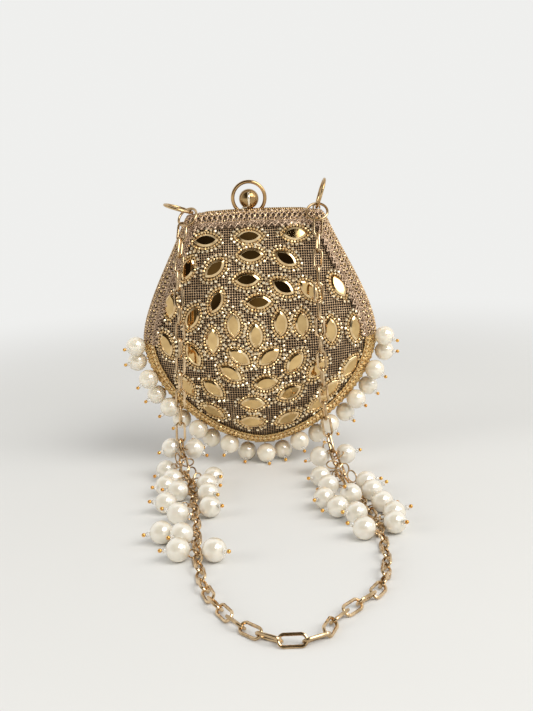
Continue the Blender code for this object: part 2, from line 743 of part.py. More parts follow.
def pearl_group(name, route, where, pearls, collection, tools):
    """Pearls that hang on one loop round the chain.

    Each pearl is given by its place along the chain from the loop and its side of the chain.
    """
    index = min(range(1, len(route) - 1), key=lambda i: (route[i] - where).length)
    centre = route[index]
    run = (route[index + 1] - route[index - 1]).normalized()
    loop_diameter = STRAP_DIAMETER + 2 * SEAT_GAP + 2 * CLUSTER_LOOP_WIRE + SEAT_GAP
    basis = run.to_track_quat("Z", "Y").to_matrix()
    loop = torus_object(
        name, centre, loop_diameter, CLUSTER_LOOP_WIRE, basis, PEARL_IVORY, collection, segments=12
    )
    level = Vector((run.x, run.y, 0.0)).normalized()
    across = Vector((-level.y, level.x, 0.0))
    loop_reach = (loop_diameter - CLUSTER_LOOP_WIRE) / 2
    for number, (along, side) in enumerate(pearls):
        place = centre + level * along * MM + across * side * MM
        place.z = PEARL_RADIUS
        pearl = ball_object(f"{name}_pearl_{number}", place, PEARL_DIAMETER, 8, 6, PEARL_IVORY, collection)
        combine(loop, pearl, "UNION", tools)
        hook = centre + across * math.copysign(loop_reach, side)
        thread = rod_object(f"{name}_thread_{number}", place, hook, THREAD_DIAMETER, 6, PEARL_IVORY, collection)
        combine(loop, thread, "UNION", tools)


def build_clusters(route, collection, tools):
    """Two clusters of pearls on the chain where it reaches the table."""
    groups = (
        ("left_pearls_1", (-36.5, -48.0, 6.2), ((-4.0, 8.4), (6.5, 9.0), (-3.5, -8.6), (7.0, -9.2))),
        ("left_pearls_2", (-33.0, -78.0, 6.0), ((-6.0, 8.6), (5.0, 8.4), (-5.5, -8.4), (5.2, -9.0))),
        ("left_pearls_3", (-30.0, -106.0, 5.8), ((-6.5, 8.8), (5.0, 9.2), (-5.0, -8.8), (6.4, -8.6))),
        ("right_pearls_1", (38.2, -54.0, 6.2), ((-6.0, 8.6), (5.5, 8.8), (-5.0, -8.6), (6.5, -8.4))),
        ("right_pearls_2", (44.2, -82.0, 6.0), ((-5.5, 8.4), (6.0, 8.8), (-6.2, -8.6), (4.8, -8.8))),
        ("right_pearls_3", (47.4, -110.0, 5.8), ((-5.0, 8.8), (6.2, 8.6), (-5.8, -9.0), (5.0, -8.6))),
    )
    for name, where, pearls in groups:
        pearl_group(name, route, Vector(where) * MM, pearls, collection, tools)


def build():
    clear_scene()
    parts = new_collection("mini_metal_clutch")
    tools = new_collection("tools")
    tools.hide_render = True
    build_half("front", FRONT, parts)
    build_half("back", BACK, parts)
    build_clasp(parts, tools)
    left_angles = (LEFT_RING_SLANT, LEFT_RING_SWING, LEFT_RING_TURN)
    right_angles = (RIGHT_RING_SLANT, RIGHT_RING_SWING, RIGHT_RING_TURN)
    left_end = build_corner("left", -1, LEFT_RING_LEAN, left_angles, parts)
    right_end = build_corner("right", 1, RIGHT_RING_LEAN, right_angles, parts)
    build_hinge(parts, tools)
    build_fringe(parts, tools)
    route = build_strap(left_end, right_end, parts)
    build_clusters(route, parts, tools)
    back_pieces = [piece for piece in parts.objects if piece.name.startswith("back_")]
    back_pieces.append(parts.objects["clasp_ring"])
    add_pivot("back_half_pivot", Vector((0.0, HINGE_BACK, HINGE_Z)), back_pieces, parts)


build()
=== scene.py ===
import random
from bisect import bisect_right
from math import acos, atan2, ceil, copysign, cos, pi, radians, sin, sqrt, tan, tau

import bmesh
import bpy
from mathutils import Matrix, Vector


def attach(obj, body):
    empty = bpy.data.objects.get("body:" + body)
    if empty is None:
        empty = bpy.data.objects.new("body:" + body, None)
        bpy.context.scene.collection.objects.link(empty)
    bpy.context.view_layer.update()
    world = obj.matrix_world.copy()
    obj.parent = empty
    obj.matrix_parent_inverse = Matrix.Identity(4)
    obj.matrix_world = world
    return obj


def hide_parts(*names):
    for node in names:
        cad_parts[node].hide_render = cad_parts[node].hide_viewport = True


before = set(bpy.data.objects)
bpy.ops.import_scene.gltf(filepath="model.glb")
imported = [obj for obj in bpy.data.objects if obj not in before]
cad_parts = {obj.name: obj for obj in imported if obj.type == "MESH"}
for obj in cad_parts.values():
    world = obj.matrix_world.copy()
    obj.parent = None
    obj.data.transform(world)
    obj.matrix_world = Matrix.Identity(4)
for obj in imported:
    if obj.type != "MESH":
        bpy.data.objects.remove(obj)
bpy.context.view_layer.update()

MM = 0.001

# The studio: a 50 mm lens half a metre in front of the clutch, a little above its top edge and
# tipped down. A large soft lamp stands high on the right with two small ones beside it, which the
# cut beads flash back, and a weaker one on the left that no gloss shows.
LENS = 50.0
SENSOR = 36.0
CAMERA_PLACE = (2.9 * MM, -505 * MM, 164 * MM)
CAMERA_TIP = radians(77.9)
CAMERA_ROLL = radians(-2.5)
LAMP_AIM = Vector((0.0, -30 * MM, 65 * MM))
WARM_WHITE = (1.0, 0.985, 0.96)

scene = bpy.context.scene
scene.view_settings.view_transform = "Standard"
camera_data = bpy.data.cameras.new("camera")
camera_data.lens = LENS
camera_data.sensor_width = SENSOR
camera = bpy.data.objects.new("camera", camera_data)
camera_turn = Matrix.Rotation(CAMERA_TIP, 4, "X") @ Matrix.Rotation(CAMERA_ROLL, 4, "Z")
camera.matrix_world = Matrix.Translation(CAMERA_PLACE) @ camera_turn
scene.collection.objects.link(camera)
scene.camera = camera


def soft_lamp(name, place, width, power, mirrored=True):
    """A round soft box aimed at the middle of the clutch, which glosses show if it is mirrored."""
    data = bpy.data.lights.new(name, "AREA")
    data.shape = "DISK"
    data.size = width
    data.energy = power
    data.color = WARM_WHITE
    lamp = bpy.data.objects.new(name, data)
    aim = LAMP_AIM - Vector(place)
    lamp.matrix_world = Matrix.Translation(place) @ aim.to_track_quat("-Z", "Y").to_matrix().to_4x4()
    lamp.visible_glossy = mirrored
    scene.collection.objects.link(lamp)


soft_lamp("key_lamp", (0.86, -0.80, 1.22), 1.10, 15.5)
soft_lamp("front_lamp", (0.42, -1.30, 1.25), 0.36, 2.2)
soft_lamp("side_lamp", (1.35, -0.30, 0.75), 0.36, 1.9)
soft_lamp("fill_lamp", (-1.0, -0.45, 0.50), 0.7, 3.6, mirrored=False)


def add_node(tree, kind, inputs=None, **settings):
    """Adds a shader node; each input is a value or another node's output."""
    made = tree.nodes.new("ShaderNode" + kind)
    for name, value in settings.items():
        setattr(made, name, value)
    for socket, value in (inputs or {}).items():
        if isinstance(value, bpy.types.NodeSocket):
            tree.links.new(value, made.inputs[socket])
        else:
            made.inputs[socket].default_value = value
    return made


def joined(kind, inputs, output=0, **settings):
    """Adds a node to the tree that feeds its first input, and gives one of its outputs."""
    tree = next(iter(inputs.values())).id_data
    return add_node(tree, kind, inputs, **settings).outputs[output]


def maths(operation, first, second=0.0):
    return joined("Math", {0: first, 1: second}, operation=operation)


def ramp(value, low, high, start=0.0, end=1.0):
    """Maps a value that runs from low to high to one that runs smoothly from start to end."""
    inputs = {"Value": value, "From Min": low, "From Max": high, "To Min": start, "To Max": end}
    return joined("MapRange", inputs, interpolation_type="SMOOTHSTEP")


def noise(spot, scale, detail=2.0):
    return joined("TexNoise", {"Vector": spot, "Scale": scale, "Detail": detail}, "Fac")


def mix_colours(share, first, second):
    first = (*first, 1.0) if isinstance(first, tuple) else first
    second = (*second, 1.0) if isinstance(second, tuple) else second
    return joined("Mix", {0: share, 6: first, 7: second}, 2, data_type="RGBA")


# The room: pale walls all round. Glosses see it unlit in front of the clutch, with dim things in
# it, as far as the bright window side on the right.
WALL = (0.865, 0.865, 0.85)
ROOM = (0.018, 0.013, 0.009)
ROOM_THINGS = (0.125, 0.095, 0.052)
AMBIENT = 0.50


def ray_that_sees(ray):
    """1 on the rays that show a thing, in the picture, in a gloss or through glass."""
    mirrored = maths("MAXIMUM", ray["Is Glossy Ray"], ray["Is Transmission Ray"])
    return maths("MAXIMUM", mirrored, ray["Is Camera Ray"])


world = bpy.data.worlds.new("studio")
world.use_nodes = True
scene.world = world
tree = world.node_tree
tree.nodes.clear()
ray = add_node(tree, "LightPath").outputs
direction = add_node(tree, "TexCoord").outputs["Generated"]
towards = add_node(tree, "SeparateXYZ", {0: direction}).outputs
dark = ramp(maths("MULTIPLY", towards[1], -1.0), -0.25, 0.15)
above = ramp(towards[2], 0.03, 0.16)
off_window = ramp(towards[0], 0.26, 0.50, 1.0, 0.0)
off_side = ramp(towards[0], -0.95, -0.60, 0.45, 1.0)
for limit in (off_window, off_side, above):
    dark = maths("MULTIPLY", dark, limit)
unlit = mix_colours(ramp(noise(direction, 7.0), 0.42, 0.66), ROOM, ROOM_THINGS)
room = mix_colours(dark, WALL, unlit)
seen = mix_colours(ray["Is Camera Ray"], room, WALL)
seen_ray = ray_that_sees(ray)
light = add_node(tree, "Background", {"Color": (1.0, 0.99, 0.975, 1.0), "Strength": AMBIENT})
backdrop = add_node(tree, "Background", {"Color": seen, "Strength": 1.0})
both = add_node(tree, "MixShader", {0: seen_ray, 1: light.outputs[0], 2: backdrop.outputs[0]})
add_node(tree, "OutputWorld", {"Surface": both.outputs[0]})

# The table: a wide matt white top that runs off into the pale wall; what the camera sees of it
# far from the clutch is the wall's own colour.
TABLE = (0.775, 0.775, 0.755)
TABLE_SHADE = tuple(0.985 * channel for channel in TABLE)
TABLE_REACH = 4.0
FADE_START = 0.20
FADE_END = 0.55


def new_finish(name, numbers, mapped=False):
    """A material, its shader with numbers set on it, and the object's or its map's coordinates."""
    made = bpy.data.materials.new(name)
    made.use_nodes = True
    tree = made.node_tree
    shader = tree.nodes["Principled BSDF"]
    for socket, value in numbers.items():
        shader.inputs[socket].default_value = value
    if mapped:
        return made, shader, add_node(tree, "UVMap").outputs[0]
    return made, shader, add_node(tree, "TexCoord").outputs["Object"]


def feed(shader, tone, roughness=None, bump=None):
    """Joins patterns to a shader: its colour, its roughness and the relief of its surface."""
    for socket, source in (("Base Color", tone), ("Roughness", roughness), ("Normal", bump)):
        if source:
            shader.id_data.links.new(source, shader.inputs[socket])


bm = bmesh.new()
bmesh.ops.create_grid(bm, x_segments=1, y_segments=1, size=TABLE_REACH)
table_mesh = bpy.data.meshes.new("table")
bm.to_mesh(table_mesh)
bm.free()
table = bpy.data.objects.new("table", table_mesh)
scene.collection.objects.link(table)
table_finish, matt, spot = new_finish("matt_table", {"Roughness": 0.7})
feed(matt, mix_colours(noise(spot, 14.0, 4.0), TABLE_SHADE, TABLE))
tree = table_finish.node_tree
away = joined("VectorMath", {0: spot}, "Value", operation="LENGTH")
seen_ray = ray_that_sees(add_node(tree, "LightPath").outputs)
far = maths("MULTIPLY", ramp(away, FADE_START, FADE_END), seen_ray)
glow = add_node(tree, "Emission", {"Color": (*WALL, 1.0), "Strength": 1.0})
both = add_node(tree, "MixShader", {0: far, 1: matt.outputs[0], 2: glow.outputs[0]})
tree.links.new(both.outputs[0], tree.nodes["Material Output"].inputs["Surface"])
table_mesh.materials.append(table_finish)

# The strap: rose-gold paperclip chain of soldered links, each a quarter turn from the last. It
# hangs from the left strap ring to the table, goes round on it and climbs back to the right one.
LINK_WIDTH = 5.3 * MM
LINK_WIRE = 1.22 * MM
LINKS = 73
LINK_END = 3.4 * MM
HUNG_LEAN = 8
LYING_LEAN = 45
LINK_PLAY = 7
LYING = 3.0 * MM
TABLE_GAP = 0.06 * MM
SPECK = 0.001 * MM
STRAP_ROUTE = (
    (-36.4, -7.3, 125.7), (-38.9, -17.0, 104.0), (-39.1, -22.0, 84.0), (-39.9, -25.5, 60.0),
    (-41.2, -28.0, 36.0), (-41.6, -30.5, 20.0), (-40.2, -36.0, 8.0), (-36.4, -49.0, 2.6),
    (-34.0, -67.0, 2.3), (-31.8, -88.0, 2.3), (-30.0, -108.0, 2.3), (-29.0, -126.0, 2.3),
    (-27.3, -142.0, 2.3), (-24.0, -161.0, 2.3), (-17.8, -178.0, 2.3), (-8.0, -194.0, 2.3),
    (5.0, -203.5, 2.3), (17.5, -200.5, 2.3), (23.5, -189.0, 2.3), (32.0, -178.5, 2.3),
    (41.0, -167.0, 2.3), (45.8, -149.0, 2.3), (47.4, -130.0, 2.3), (47.6, -112.0, 2.3),
    (46.2, -93.0, 2.3), (42.8, -75.0, 2.3), (39.2, -57.0, 2.6), (35.8, -42.0, 7.6),
    (32.6, -32.0, 18.0), (30.8, -29.0, 34.0), (30.0, -27.5, 58.0), (29.8, -24.5, 82.0),
    (30.2, -19.0, 103.0), (31.4, -9.86, 125.88),
)


def smooth_line(points, samples=12):
    """Points on a smooth curve through the given ones."""
    ends = [2 * points[0] - points[1], *points, 2 * points[-1] - points[-2]]
    line = []
    for a, b, c, d in zip(ends, ends[1:], ends[2:], ends[3:]):
        for step in range(samples):
            t = step / samples
            bend = (2 * a - 5 * b + 4 * c - d) * t**2 + (3 * b - a - 3 * c + d) * t**3
            line.append((2 * b + (c - a) * t + bend) / 2)
    return [*line, points[-1]]


def walked(line):
    """How far along a line each of its points is."""
    total = [0.0]
    for a, b in zip(line, line[1:]):
        total.append(total[-1] + (b - a).length)
    return total


def at_distance(line, total, distance):
    """The point of a line at a distance from its start, and the line's direction there."""
    index = min(max(bisect_right(total, distance) - 1, 0), len(line) - 2)
    a, b = line[index], line[index + 1]
    share = (distance - total[index]) / (total[index + 1] - total[index])
    return a.lerp(b, share), (b - a).normalized()


def relief(height, strength, distance, **settings):
    inputs = {"Height": height, "Strength": strength, "Distance": distance}
    return joined("Bump", inputs, **settings)


def metal_finish(name, light, dark, gloss, worn, patch=240.0, grain=2400.0, dents=0.03, metal=1.0):
    """Plated metal: its colour drifts between two tones, and fine rubbing varies the gloss."""
    made, shader, spot = new_finish(name, {"Metallic": metal})
    tone = mix_colours(ramp(noise(spot, patch, 3.0), 0.35, 0.65), dark, light)
    fine = noise(spot, grain)
    feed(shader, tone, ramp(fine, 0.3, 0.7, gloss, worn), relief(fine, dents, 0.2 * MM))
    return made


def spun_ring(outer, wire, sections, steps, stretch=0.0):
    """A wire ring lying in XY, its halves pulled apart along Y: a closed link."""
    bm = bmesh.new()
    half_step = Matrix.Rotation(pi / steps, 4, "Z")
    upright = Matrix.Rotation(pi / 2, 4, "X")
    place = half_step @ Matrix.Translation(((outer - wire) / 2, 0, 0)) @ upright
    bmesh.ops.create_circle(bm, segments=sections, radius=wire / 2, matrix=place)
    bmesh.ops.spin(
        bm, geom=bm.verts[:] + bm.edges[:], cent=(0, 0, 0), axis=(0, 0, 1), dvec=(0, 0, 0),
        angle=tau, steps=steps, use_merge=True, use_duplicate=False,
    )
    bmesh.ops.remove_doubles(bm, verts=bm.verts, dist=SPECK)
    for vert in bm.verts:
        vert.co.y += copysign(stretch / 2, vert.co.y)
    return template_from(bm)


def template_from(bm):
    """A finished bmesh as a mesh that is copied into pieces, its faces pointing out."""
    bmesh.ops.recalc_face_normals(bm, faces=bm.faces)
    mesh = bpy.data.meshes.new("template")
    bm.to_mesh(mesh)
    bm.free()
    mesh.shade_smooth()
    return mesh


def add_copy(bm, template, place):
    """Lays a copy of a template in a piece, raised where it would sink into the table."""
    copy = template.copy()
    copy.transform(place)
    lowest = min(vert.co.z for vert in copy.vertices)
    if lowest < TABLE_GAP:
        copy.transform(Matrix.Translation((0, 0, TABLE_GAP - lowest)))
    bm.from_mesh(copy)
    bpy.data.meshes.remove(copy)


def facing(centre, normal, along):
    """The place at a centre that takes Z to a normal and Y as near as can be to a direction."""
    side = along.cross(normal).normalized()
    turn = Matrix((side, normal.cross(side), normal)).transposed().to_4x4()
    return Matrix.Translation(centre) @ turn


def riding(name, data, body):
    """A mesh or curve as a piece that rides on a body."""
    piece = bpy.data.objects.new(name, data)
    scene.collection.objects.link(piece)
    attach(piece, body)
    return piece


def add_piece(name, bm, finishes, body, sharp=35.0):
    mesh = bpy.data.meshes.new(name)
    bm.to_mesh(mesh)
    bm.free()
    for finish in finishes:
        mesh.materials.append(finish)
    mesh.shade_smooth()
    mesh.set_sharp_from_angle(angle=radians(sharp))
    return riding(name, mesh, body)


rose_gold = metal_finish("rose_gold", (0.78, 0.575, 0.35), (0.48, 0.335, 0.18), 0.08, 0.22)
strap_line = smooth_line([Vector(p) * MM for p in STRAP_ROUTE])
strap_walk = walked(strap_line)
pitch = (strap_walk[-1] - 2 * LINK_END) / (LINKS - 1)
link = spun_ring(LINK_WIDTH, LINK_WIRE, 10, 28, pitch + 2 * LINK_WIRE - LINK_WIDTH)
draw = random.Random(11)
bm = bmesh.new()
for number in range(LINKS):
    centre, run = at_distance(strap_line, strap_walk, LINK_END + pitch * number)
    steep = abs(run.z)
    level = sqrt(1 - steep**2)
    face = Vector((0.0, -steep, level))
    face = (face - run * face.dot(run)).normalized()
    lean = HUNG_LEAN * steep**2 + LYING_LEAN * level**2 + draw.uniform(-LINK_PLAY, LINK_PLAY)
    lean += 90 * (number % 2)
    place = facing(centre, Matrix.Rotation(radians(lean), 3, run) @ face, run)
    if centre.z < LYING:  # pressed down, so that its copy is laid on the table
        place = Matrix.Translation((0, 0, -LYING)) @ place
    add_copy(bm, link, place)
strap = add_piece("chain_strap", bm, [rose_gold], "front_half")
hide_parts("strap_chain")

# Two clusters of large pearls on the chain where it meets the table. Each glass pearl hangs on
# small rose-gold rings, and ends in a clear seed bead and an orange-gold tip bead.
PEARL = 10.0 * MM
SEED = 2.3 * MM
TIP = 1.8 * MM
JUMP_WIRE = 0.65 * MM
JUMP_REACH = 3.6 * MM
JUMP_LAP = 1.3 * MM
LOOSE_RING = 6.6 * MM
LOOSE_WIRE = 0.75 * MM
PEARL_BORE = 0.4 * MM
JUMP_PLAY = 0.9
JUMP_TURN = 1.5
AWAY_PULL = 0.8
LOOSE_TIP = ((-0.5, 0.5), (-0.9, -0.1), (-0.25, 0.35))
LOOSE_FACE = ((-1, 1), (-1, 0.2), (-0.6, 0.6))
NESTED = 0.36
TIP_DIP = sin(radians(28.0))
LEFT_CLUSTER = (
    (-47.1, -27.0, 16.0), (-35.6, -27.0, 15.1), (-50.2, -28.6, 5.0), (-45.7, -43.1, 5.0),
    (-41.8, -60.6, 5.0), (-48.4, -52.9, 5.0), (-46.2, -75.9, 5.0), (-39.5, -90.1, 5.0),
    (-44.8, -111.5, 5.0), (-35.9, -116.3, 5.8), (-36.3, -130.7, 5.0), (-21.5, -132.3, 5.0),
    (-25.7, -42.6, 5.0), (-28.5, -52.3, 5.0), (-27.3, -65.1, 5.0), (-25.5, -83.2, 5.0),
)
RIGHT_CLUSTER = (
    (40.4, -32.0, 10.6), (27.4, -33.0, 10.1), (26.6, -48.6, 5.0), (29.6, -61.4, 5.0),
    (26.4, -78.4, 5.0), (31.7, -90.0, 5.0), (38.2, -83.0, 8.0), (39.1, -98.6, 5.0),
    (40.7, -116.1, 5.0), (47.8, -58.7, 5.0), (49.2, -70.4, 5.0), (51.9, -86.1, 5.0),
    (55.5, -99.7, 5.0), (54.3, -110.9, 5.0),
)
LEFT_RINGS = (
    (-43.5, -34.0, 12.5), (-38.5, -36.5, 11.0), (-42.0, -40.0, 8.5), (-36.5, -42.5, 7.5),
    (-39.5, -45.5, 5.5), (-33.5, -46.0, 5.5), (-41.5, -31.5, 16.0),
)
RIGHT_RINGS = (
    (31.5, -35.0, 15.0), (36.5, -37.5, 11.5), (33.0, -42.0, 8.5), (38.5, -45.5, 7.0),
    (35.0, -50.0, 5.5), (41.5, -52.0, 5.5), (37.5, -58.0, 5.0),
)


def pearl_finish(name, light, dark):
    """Lustrous glass pearl: a soft ivory body under a thin clear coat, slightly uneven, with painted warm
    shade towards its rim.
    """
    made, shader, spot = new_finish(name, {
        "Roughness": 0.35, "Specular IOR Level": 0.7, "Coat Weight": 1.0, "Coat Roughness": 0.05,
        "Coat IOR": 2.7, "Subsurface Weight": 0.25, "Subsurface Radius": (0.0012, 0.0010, 0.0008),
        "Subsurface Scale": 1.0,
    })
    cloud = noise(spot, 190.0, 3.0)
    body = mix_colours(ramp(cloud, 0.35, 0.65), dark, light)
    # Painted shade: the body turns a darker, warmer tone where the surface turns away towards the rim.
    edge = add_node(made.node_tree, "LayerWeight", {"Blend": 0.35}).outputs["Facing"]
    tone = mix_colours(ramp(edge, 0.35, 0.95), body, (0.72, 0.59, 0.38))
    feed(shader, tone, bump=relief(cloud, 0.12, 0.6 * MM))
    return made


def clear_finish(name):
    """Clear glass seed bead, faintly yellow where it is worn."""
    glass = {"Transmission Weight": 0.75, "Roughness": 0.06, "IOR": 1.5}
    made, shader, spot = new_finish(name, glass)
    feed(shader, mix_colours(noise(spot, 500.0), (0.98, 0.95, 0.88), (1.0, 1.0, 0.98)))
    return made


def round_bead(width, across, up):
    bm = bmesh.new()
    bmesh.ops.create_uvsphere(bm, u_segments=across, v_segments=up, radius=width / 2)
    return template_from(bm)


def pearl_drops(name, pearls, outwards, replaced, pearl_look):
    """Pearls, and the seed and tip bead on each pearl's outer end, as three pieces."""
    meshes = [bmesh.new() for _ in range(3)]
    for centre, outward in zip(pearls, outwards):
        turn = outward.to_track_quat("Z", "Y").to_matrix().to_4x4()
        seed_place = centre + outward * (PEARL / 2 + SEED * NESTED)
        tip_place = seed_place + outward * (SEED / 2 + TIP * NESTED)
        for mesh, template, place in zip(meshes, DROP_SHAPES, (centre, seed_place, tip_place)):
            add_copy(mesh, template, Matrix.Translation(place) @ turn)
    made = []
    looks = (pearl_look, clear, orange_gold)
    for mesh, part, finish, slot in zip(meshes, ("pearls", "seeds", "tips"), looks, DROP_SLOTS):
        made.append(add_piece(f"{name}_{part}", mesh, [finish], "front_half", 60.0))
    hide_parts(*replaced)
    return made


ivory = pearl_finish("pearl_ivory", (0.86, 0.805, 0.69), (0.79, 0.73, 0.60))
clear = clear_finish("clear_seed")
orange_gold = metal_finish("orange_gold", (0.90, 0.52, 0.14), (0.78, 0.38, 0.09), 0.2, 0.3)
DROP_SHAPES = (round_bead(PEARL, 28, 18), round_bead(SEED, 12, 8), round_bead(TIP, 10, 7))
DROP_SLOTS = ("pearl_ivory", "pearl_ivory", "antique_gold")


def drawn(spans):
    """A vector drawn by chance from a span of each coordinate."""
    return Vector([draw.uniform(low, high) for low, high in spans])


strap_pieces = []
clusters = (("left", LEFT_CLUSTER, LEFT_RINGS), ("right", RIGHT_CLUSTER, RIGHT_RINGS))
for side, cluster, rings in clusters:
    pearls = [Vector(p) * MM for p in cluster]
    outwards = []
    bm = bmesh.new()
    for pearl in pearls:
        held = min(strap_line, key=lambda p: (p - pearl).length)
        away = (pearl - held).normalized()
        tip = (away * AWAY_PULL + drawn(LOOSE_TIP)).normalized()
        tip.z = max(tip.z, -TIP_DIP)
        outwards.append(tip.normalized())
        skin = pearl - away * (PEARL / 2 - PEARL_BORE)
        count = ceil((skin - held).length / JUMP_REACH)
        ring = spun_ring((skin - held).length / count + JUMP_LAP, JUMP_WIRE, 6, 16)
        for number in range(count):
            tilt = Matrix.Rotation(draw.uniform(-JUMP_PLAY, JUMP_PLAY) + JUMP_TURN * number, 3, away)
            normal = (tilt @ away.orthogonal()).normalized()
            place = held.lerp(skin, (number + 0.5) / count)
            add_copy(bm, ring, facing(place, normal, away))
        bpy.data.meshes.remove(ring)
    loose_ring = spun_ring(LOOSE_RING, LOOSE_WIRE, 6, 18)
    for place in rings:
        normal = drawn(LOOSE_FACE).normalized()
        add_copy(bm, loose_ring, facing(Vector(place) * MM, normal, normal.orthogonal()))
    nodes = [f"{side}_pearls_{number}" for number in (1, 2, 3)]
    strap_pieces += pearl_drops(side + "_cluster", pearls, outwards, nodes, ivory)
    name = side + "_cluster_rings"
    strap_pieces.append(add_piece(name, bm, [rose_gold], "front_half"))

# The frames: two flat gilt brass hoops with eased edges that meet all round, one in each half.
# A twisted cord of gilt wire runs round the outer edge of each.
BODY_WIDTH = 120.0 * MM
TOP_WIDTH = 69.0 * MM
BODY_BOTTOM = 10.3 * MM
BODY_TOP = 131.8 * MM
WIDEST_UP = 55.5 * MM
TOP_BOW = 1.2 * MM
CORNER_RADIUS = 4.0 * MM
SIDE_LEAN = radians(20.0)
SIDE_UPPER_REACH = 19.0 * MM
SIDE_LOWER_REACH = 18.0 * MM
LOWER_ROUNDNESS = 1.7
OUTLINE_STEPS = (28, 24, 8, 12)
COLUMNS = 2 * sum(OUTLINE_STEPS)
WIDEST_COLUMN = OUTLINE_STEPS[0]
FRAME_SETBACK = 0.3 * MM
FRAME_WIDTH = 4.4 * MM
FRAME_DEPTH = 1.7 * MM
SEAT = 0.15 * MM
ROPE_WIRE = 0.75 * MM
ROPE_SWING = 0.55 * ROPE_WIRE
ROPE_INSET = 0.1 * MM
ROPE_STEP = 0.35 * MM
ROPE_TWIST = 2.2 * MM
ROPE_SUNK = 0.7 * MM
SUNK_REACH = 8.0 * MM
UNDER_RINGS = 32.0 * MM
HINGE_CLEAR = 7.0 * MM
HOOP_EDGE = 0.3 * MM
HOOP_FOLD = 1.0


def rim_outline():
    """The closed outline as (x, z) points, anticlockwise from the bottom middle."""
    bottom_steps, side_steps, corner_steps, top_steps = OUTLINE_STEPS
    widest_z = BODY_BOTTOM + WIDEST_UP
    corner = Vector((TOP_WIDTH / 2, BODY_TOP - TOP_BOW))
    up_side = Vector((-sin(SIDE_LEAN), cos(SIDE_LEAN)))
    along_top = Vector((-corner.x, 2 * TOP_BOW)).normalized()
    turn = up_side.angle(along_top)
    tangent = CORNER_RADIUS * tan(turn / 2)
    half = []
    for step in range(bottom_steps):
        angle = pi / 2 * step / bottom_steps
        power = 2 / LOWER_ROUNDNESS
        x = BODY_WIDTH / 2 * sin(angle) ** power
        half.append(Vector((x, widest_z - WIDEST_UP * cos(angle) ** power)))
    side_end = corner - up_side * tangent
    a, b = Vector((BODY_WIDTH / 2, widest_z)), Vector((BODY_WIDTH / 2, widest_z + SIDE_LOWER_REACH))
    c = side_end - up_side * SIDE_UPPER_REACH
    for step in range(side_steps):
        t = step / side_steps
        rest = 1 - t
        half.append(a * rest**3 + b * (3 * rest**2 * t) + c * (3 * rest * t**2) + side_end * t**3)
    inward = Vector((-up_side.y, up_side.x))
    centre = side_end + inward * CORNER_RADIUS
    for step in range(corner_steps):
        angle = turn * step / corner_steps
        spoke = inward * -cos(angle) + up_side * sin(angle)
        half.append(centre + spoke * CORNER_RADIUS)
    top_start = corner + along_top * tangent
    for step in range(top_steps + 1):
        x = top_start.x * (1 - step / top_steps)
        half.append(Vector((x, BODY_TOP - TOP_BOW * (x / corner.x) ** 2)))
    return half + [Vector((-p.x, p.y)) for p in reversed(half[1:-1])]


def moved_in(points, distance):
    """The closed outline moved inwards by a distance, point for point."""
    moved = []
    for index, point in enumerate(points):
        before = (point - points[index - 1]).normalized()
        after = (points[(index + 1) % len(points)] - point).normalized()
        inward = Vector((-(before + after).y, (before + after).x)).normalized()
        moved.append(point + inward * (distance / inward.dot(Vector((-before.y, before.x)))))
    return moved


def frame_hoop(name, half, body):
    """Two outlines bridged to a flat hoop, drawn out to its depth, with bevelled edges."""
    bm = bmesh.new()
    for distance in (FRAME_SETBACK, FRAME_SETBACK + FRAME_WIDTH):
        circle = bmesh.ops.create_circle(bm, segments=COLUMNS, radius=1.0)["verts"]
        for vert, point in zip(circle, moved_in(OUTLINE, distance)):
            vert.co = (point.x, half * SEAT, point.y)
    bmesh.ops.bridge_loops(bm, edges=bm.edges[:])
    pulled = bmesh.ops.extrude_face_region(bm, geom=bm.faces[:])["geom"]
    moved = [item for item in pulled if isinstance(item, bmesh.types.BMVert)]
    bmesh.ops.translate(bm, verts=moved, vec=(0, half * FRAME_DEPTH, 0))
    bmesh.ops.recalc_face_normals(bm, faces=bm.faces)
    corners = [edge for edge in bm.edges if edge.calc_face_angle(0.0) > HOOP_FOLD]
    bmesh.ops.bevel(
        bm, geom=corners, offset=HOOP_EDGE, offset_type="OFFSET", segments=2, profile=0.5,
        affect="EDGES", material=-1,
    )
    piece = add_piece(name, bm, [antique_gold], body)
    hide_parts(name.replace("_hoop", "_frame"))


def wire_piece(name, lines, width, finish, body, roundness=2):
    """Round wires through rows of points, with filled ends, as one curve piece."""
    curve = bpy.data.curves.new(name, "CURVE")
    curve.dimensions = "3D"
    curve.bevel_depth = width / 2
    curve.bevel_resolution = roundness
    curve.use_fill_caps = True
    for line in lines:
        spline = curve.splines.new("POLY")
        spline.points.add(len(line) - 1)
        for target, point in zip(spline.points, line):
            target.co = (*point, 1.0)
    curve.materials.append(finish)
    return riding(name, curve, body)


def rope_line(half):
    """Two wires twisted along a frame's outer edge, sunk at its top corners, open at the hinge."""
    middle = half * (SEAT + FRAME_DEPTH / 2)
    edge = [Vector((p.x, middle, p.y)) for p in moved_in(OUTLINE, ROPE_INSET)]
    edge = [*edge[1:], edge[0], edge[1]]
    total = walked(edge)
    steps = int(total[-1] / ROPE_STEP)
    strands = ([], [])
    for step in range(steps):
        point, run = at_distance(edge, total, total[-1] * step / steps)
        if point.z < BODY_TOP / 2 and abs(point.x) < HINGE_CLEAR:
            continue
        outward = Vector((run.z, 0.0, -run.x))
        corner = Vector((copysign(UNDER_RINGS, point.x), point.y, BODY_TOP))
        sunk = max(0.0, 1.0 - ((point - corner).length / SUNK_REACH) ** 2)
        away = outward if outward.dot(point - Vector((0, point.y, BODY_TOP / 2))) > 0 else -outward
        point = point - away * (ROPE_SUNK * sunk)
        angle = tau * step * ROPE_STEP / ROPE_TWIST
        for strand, phase in zip(strands, (0.0, pi)):
            swing = outward * cos(angle + phase) + Vector((0, sin(angle + phase), 0))
            strand.append(point + swing * ROPE_SWING)
    return strands


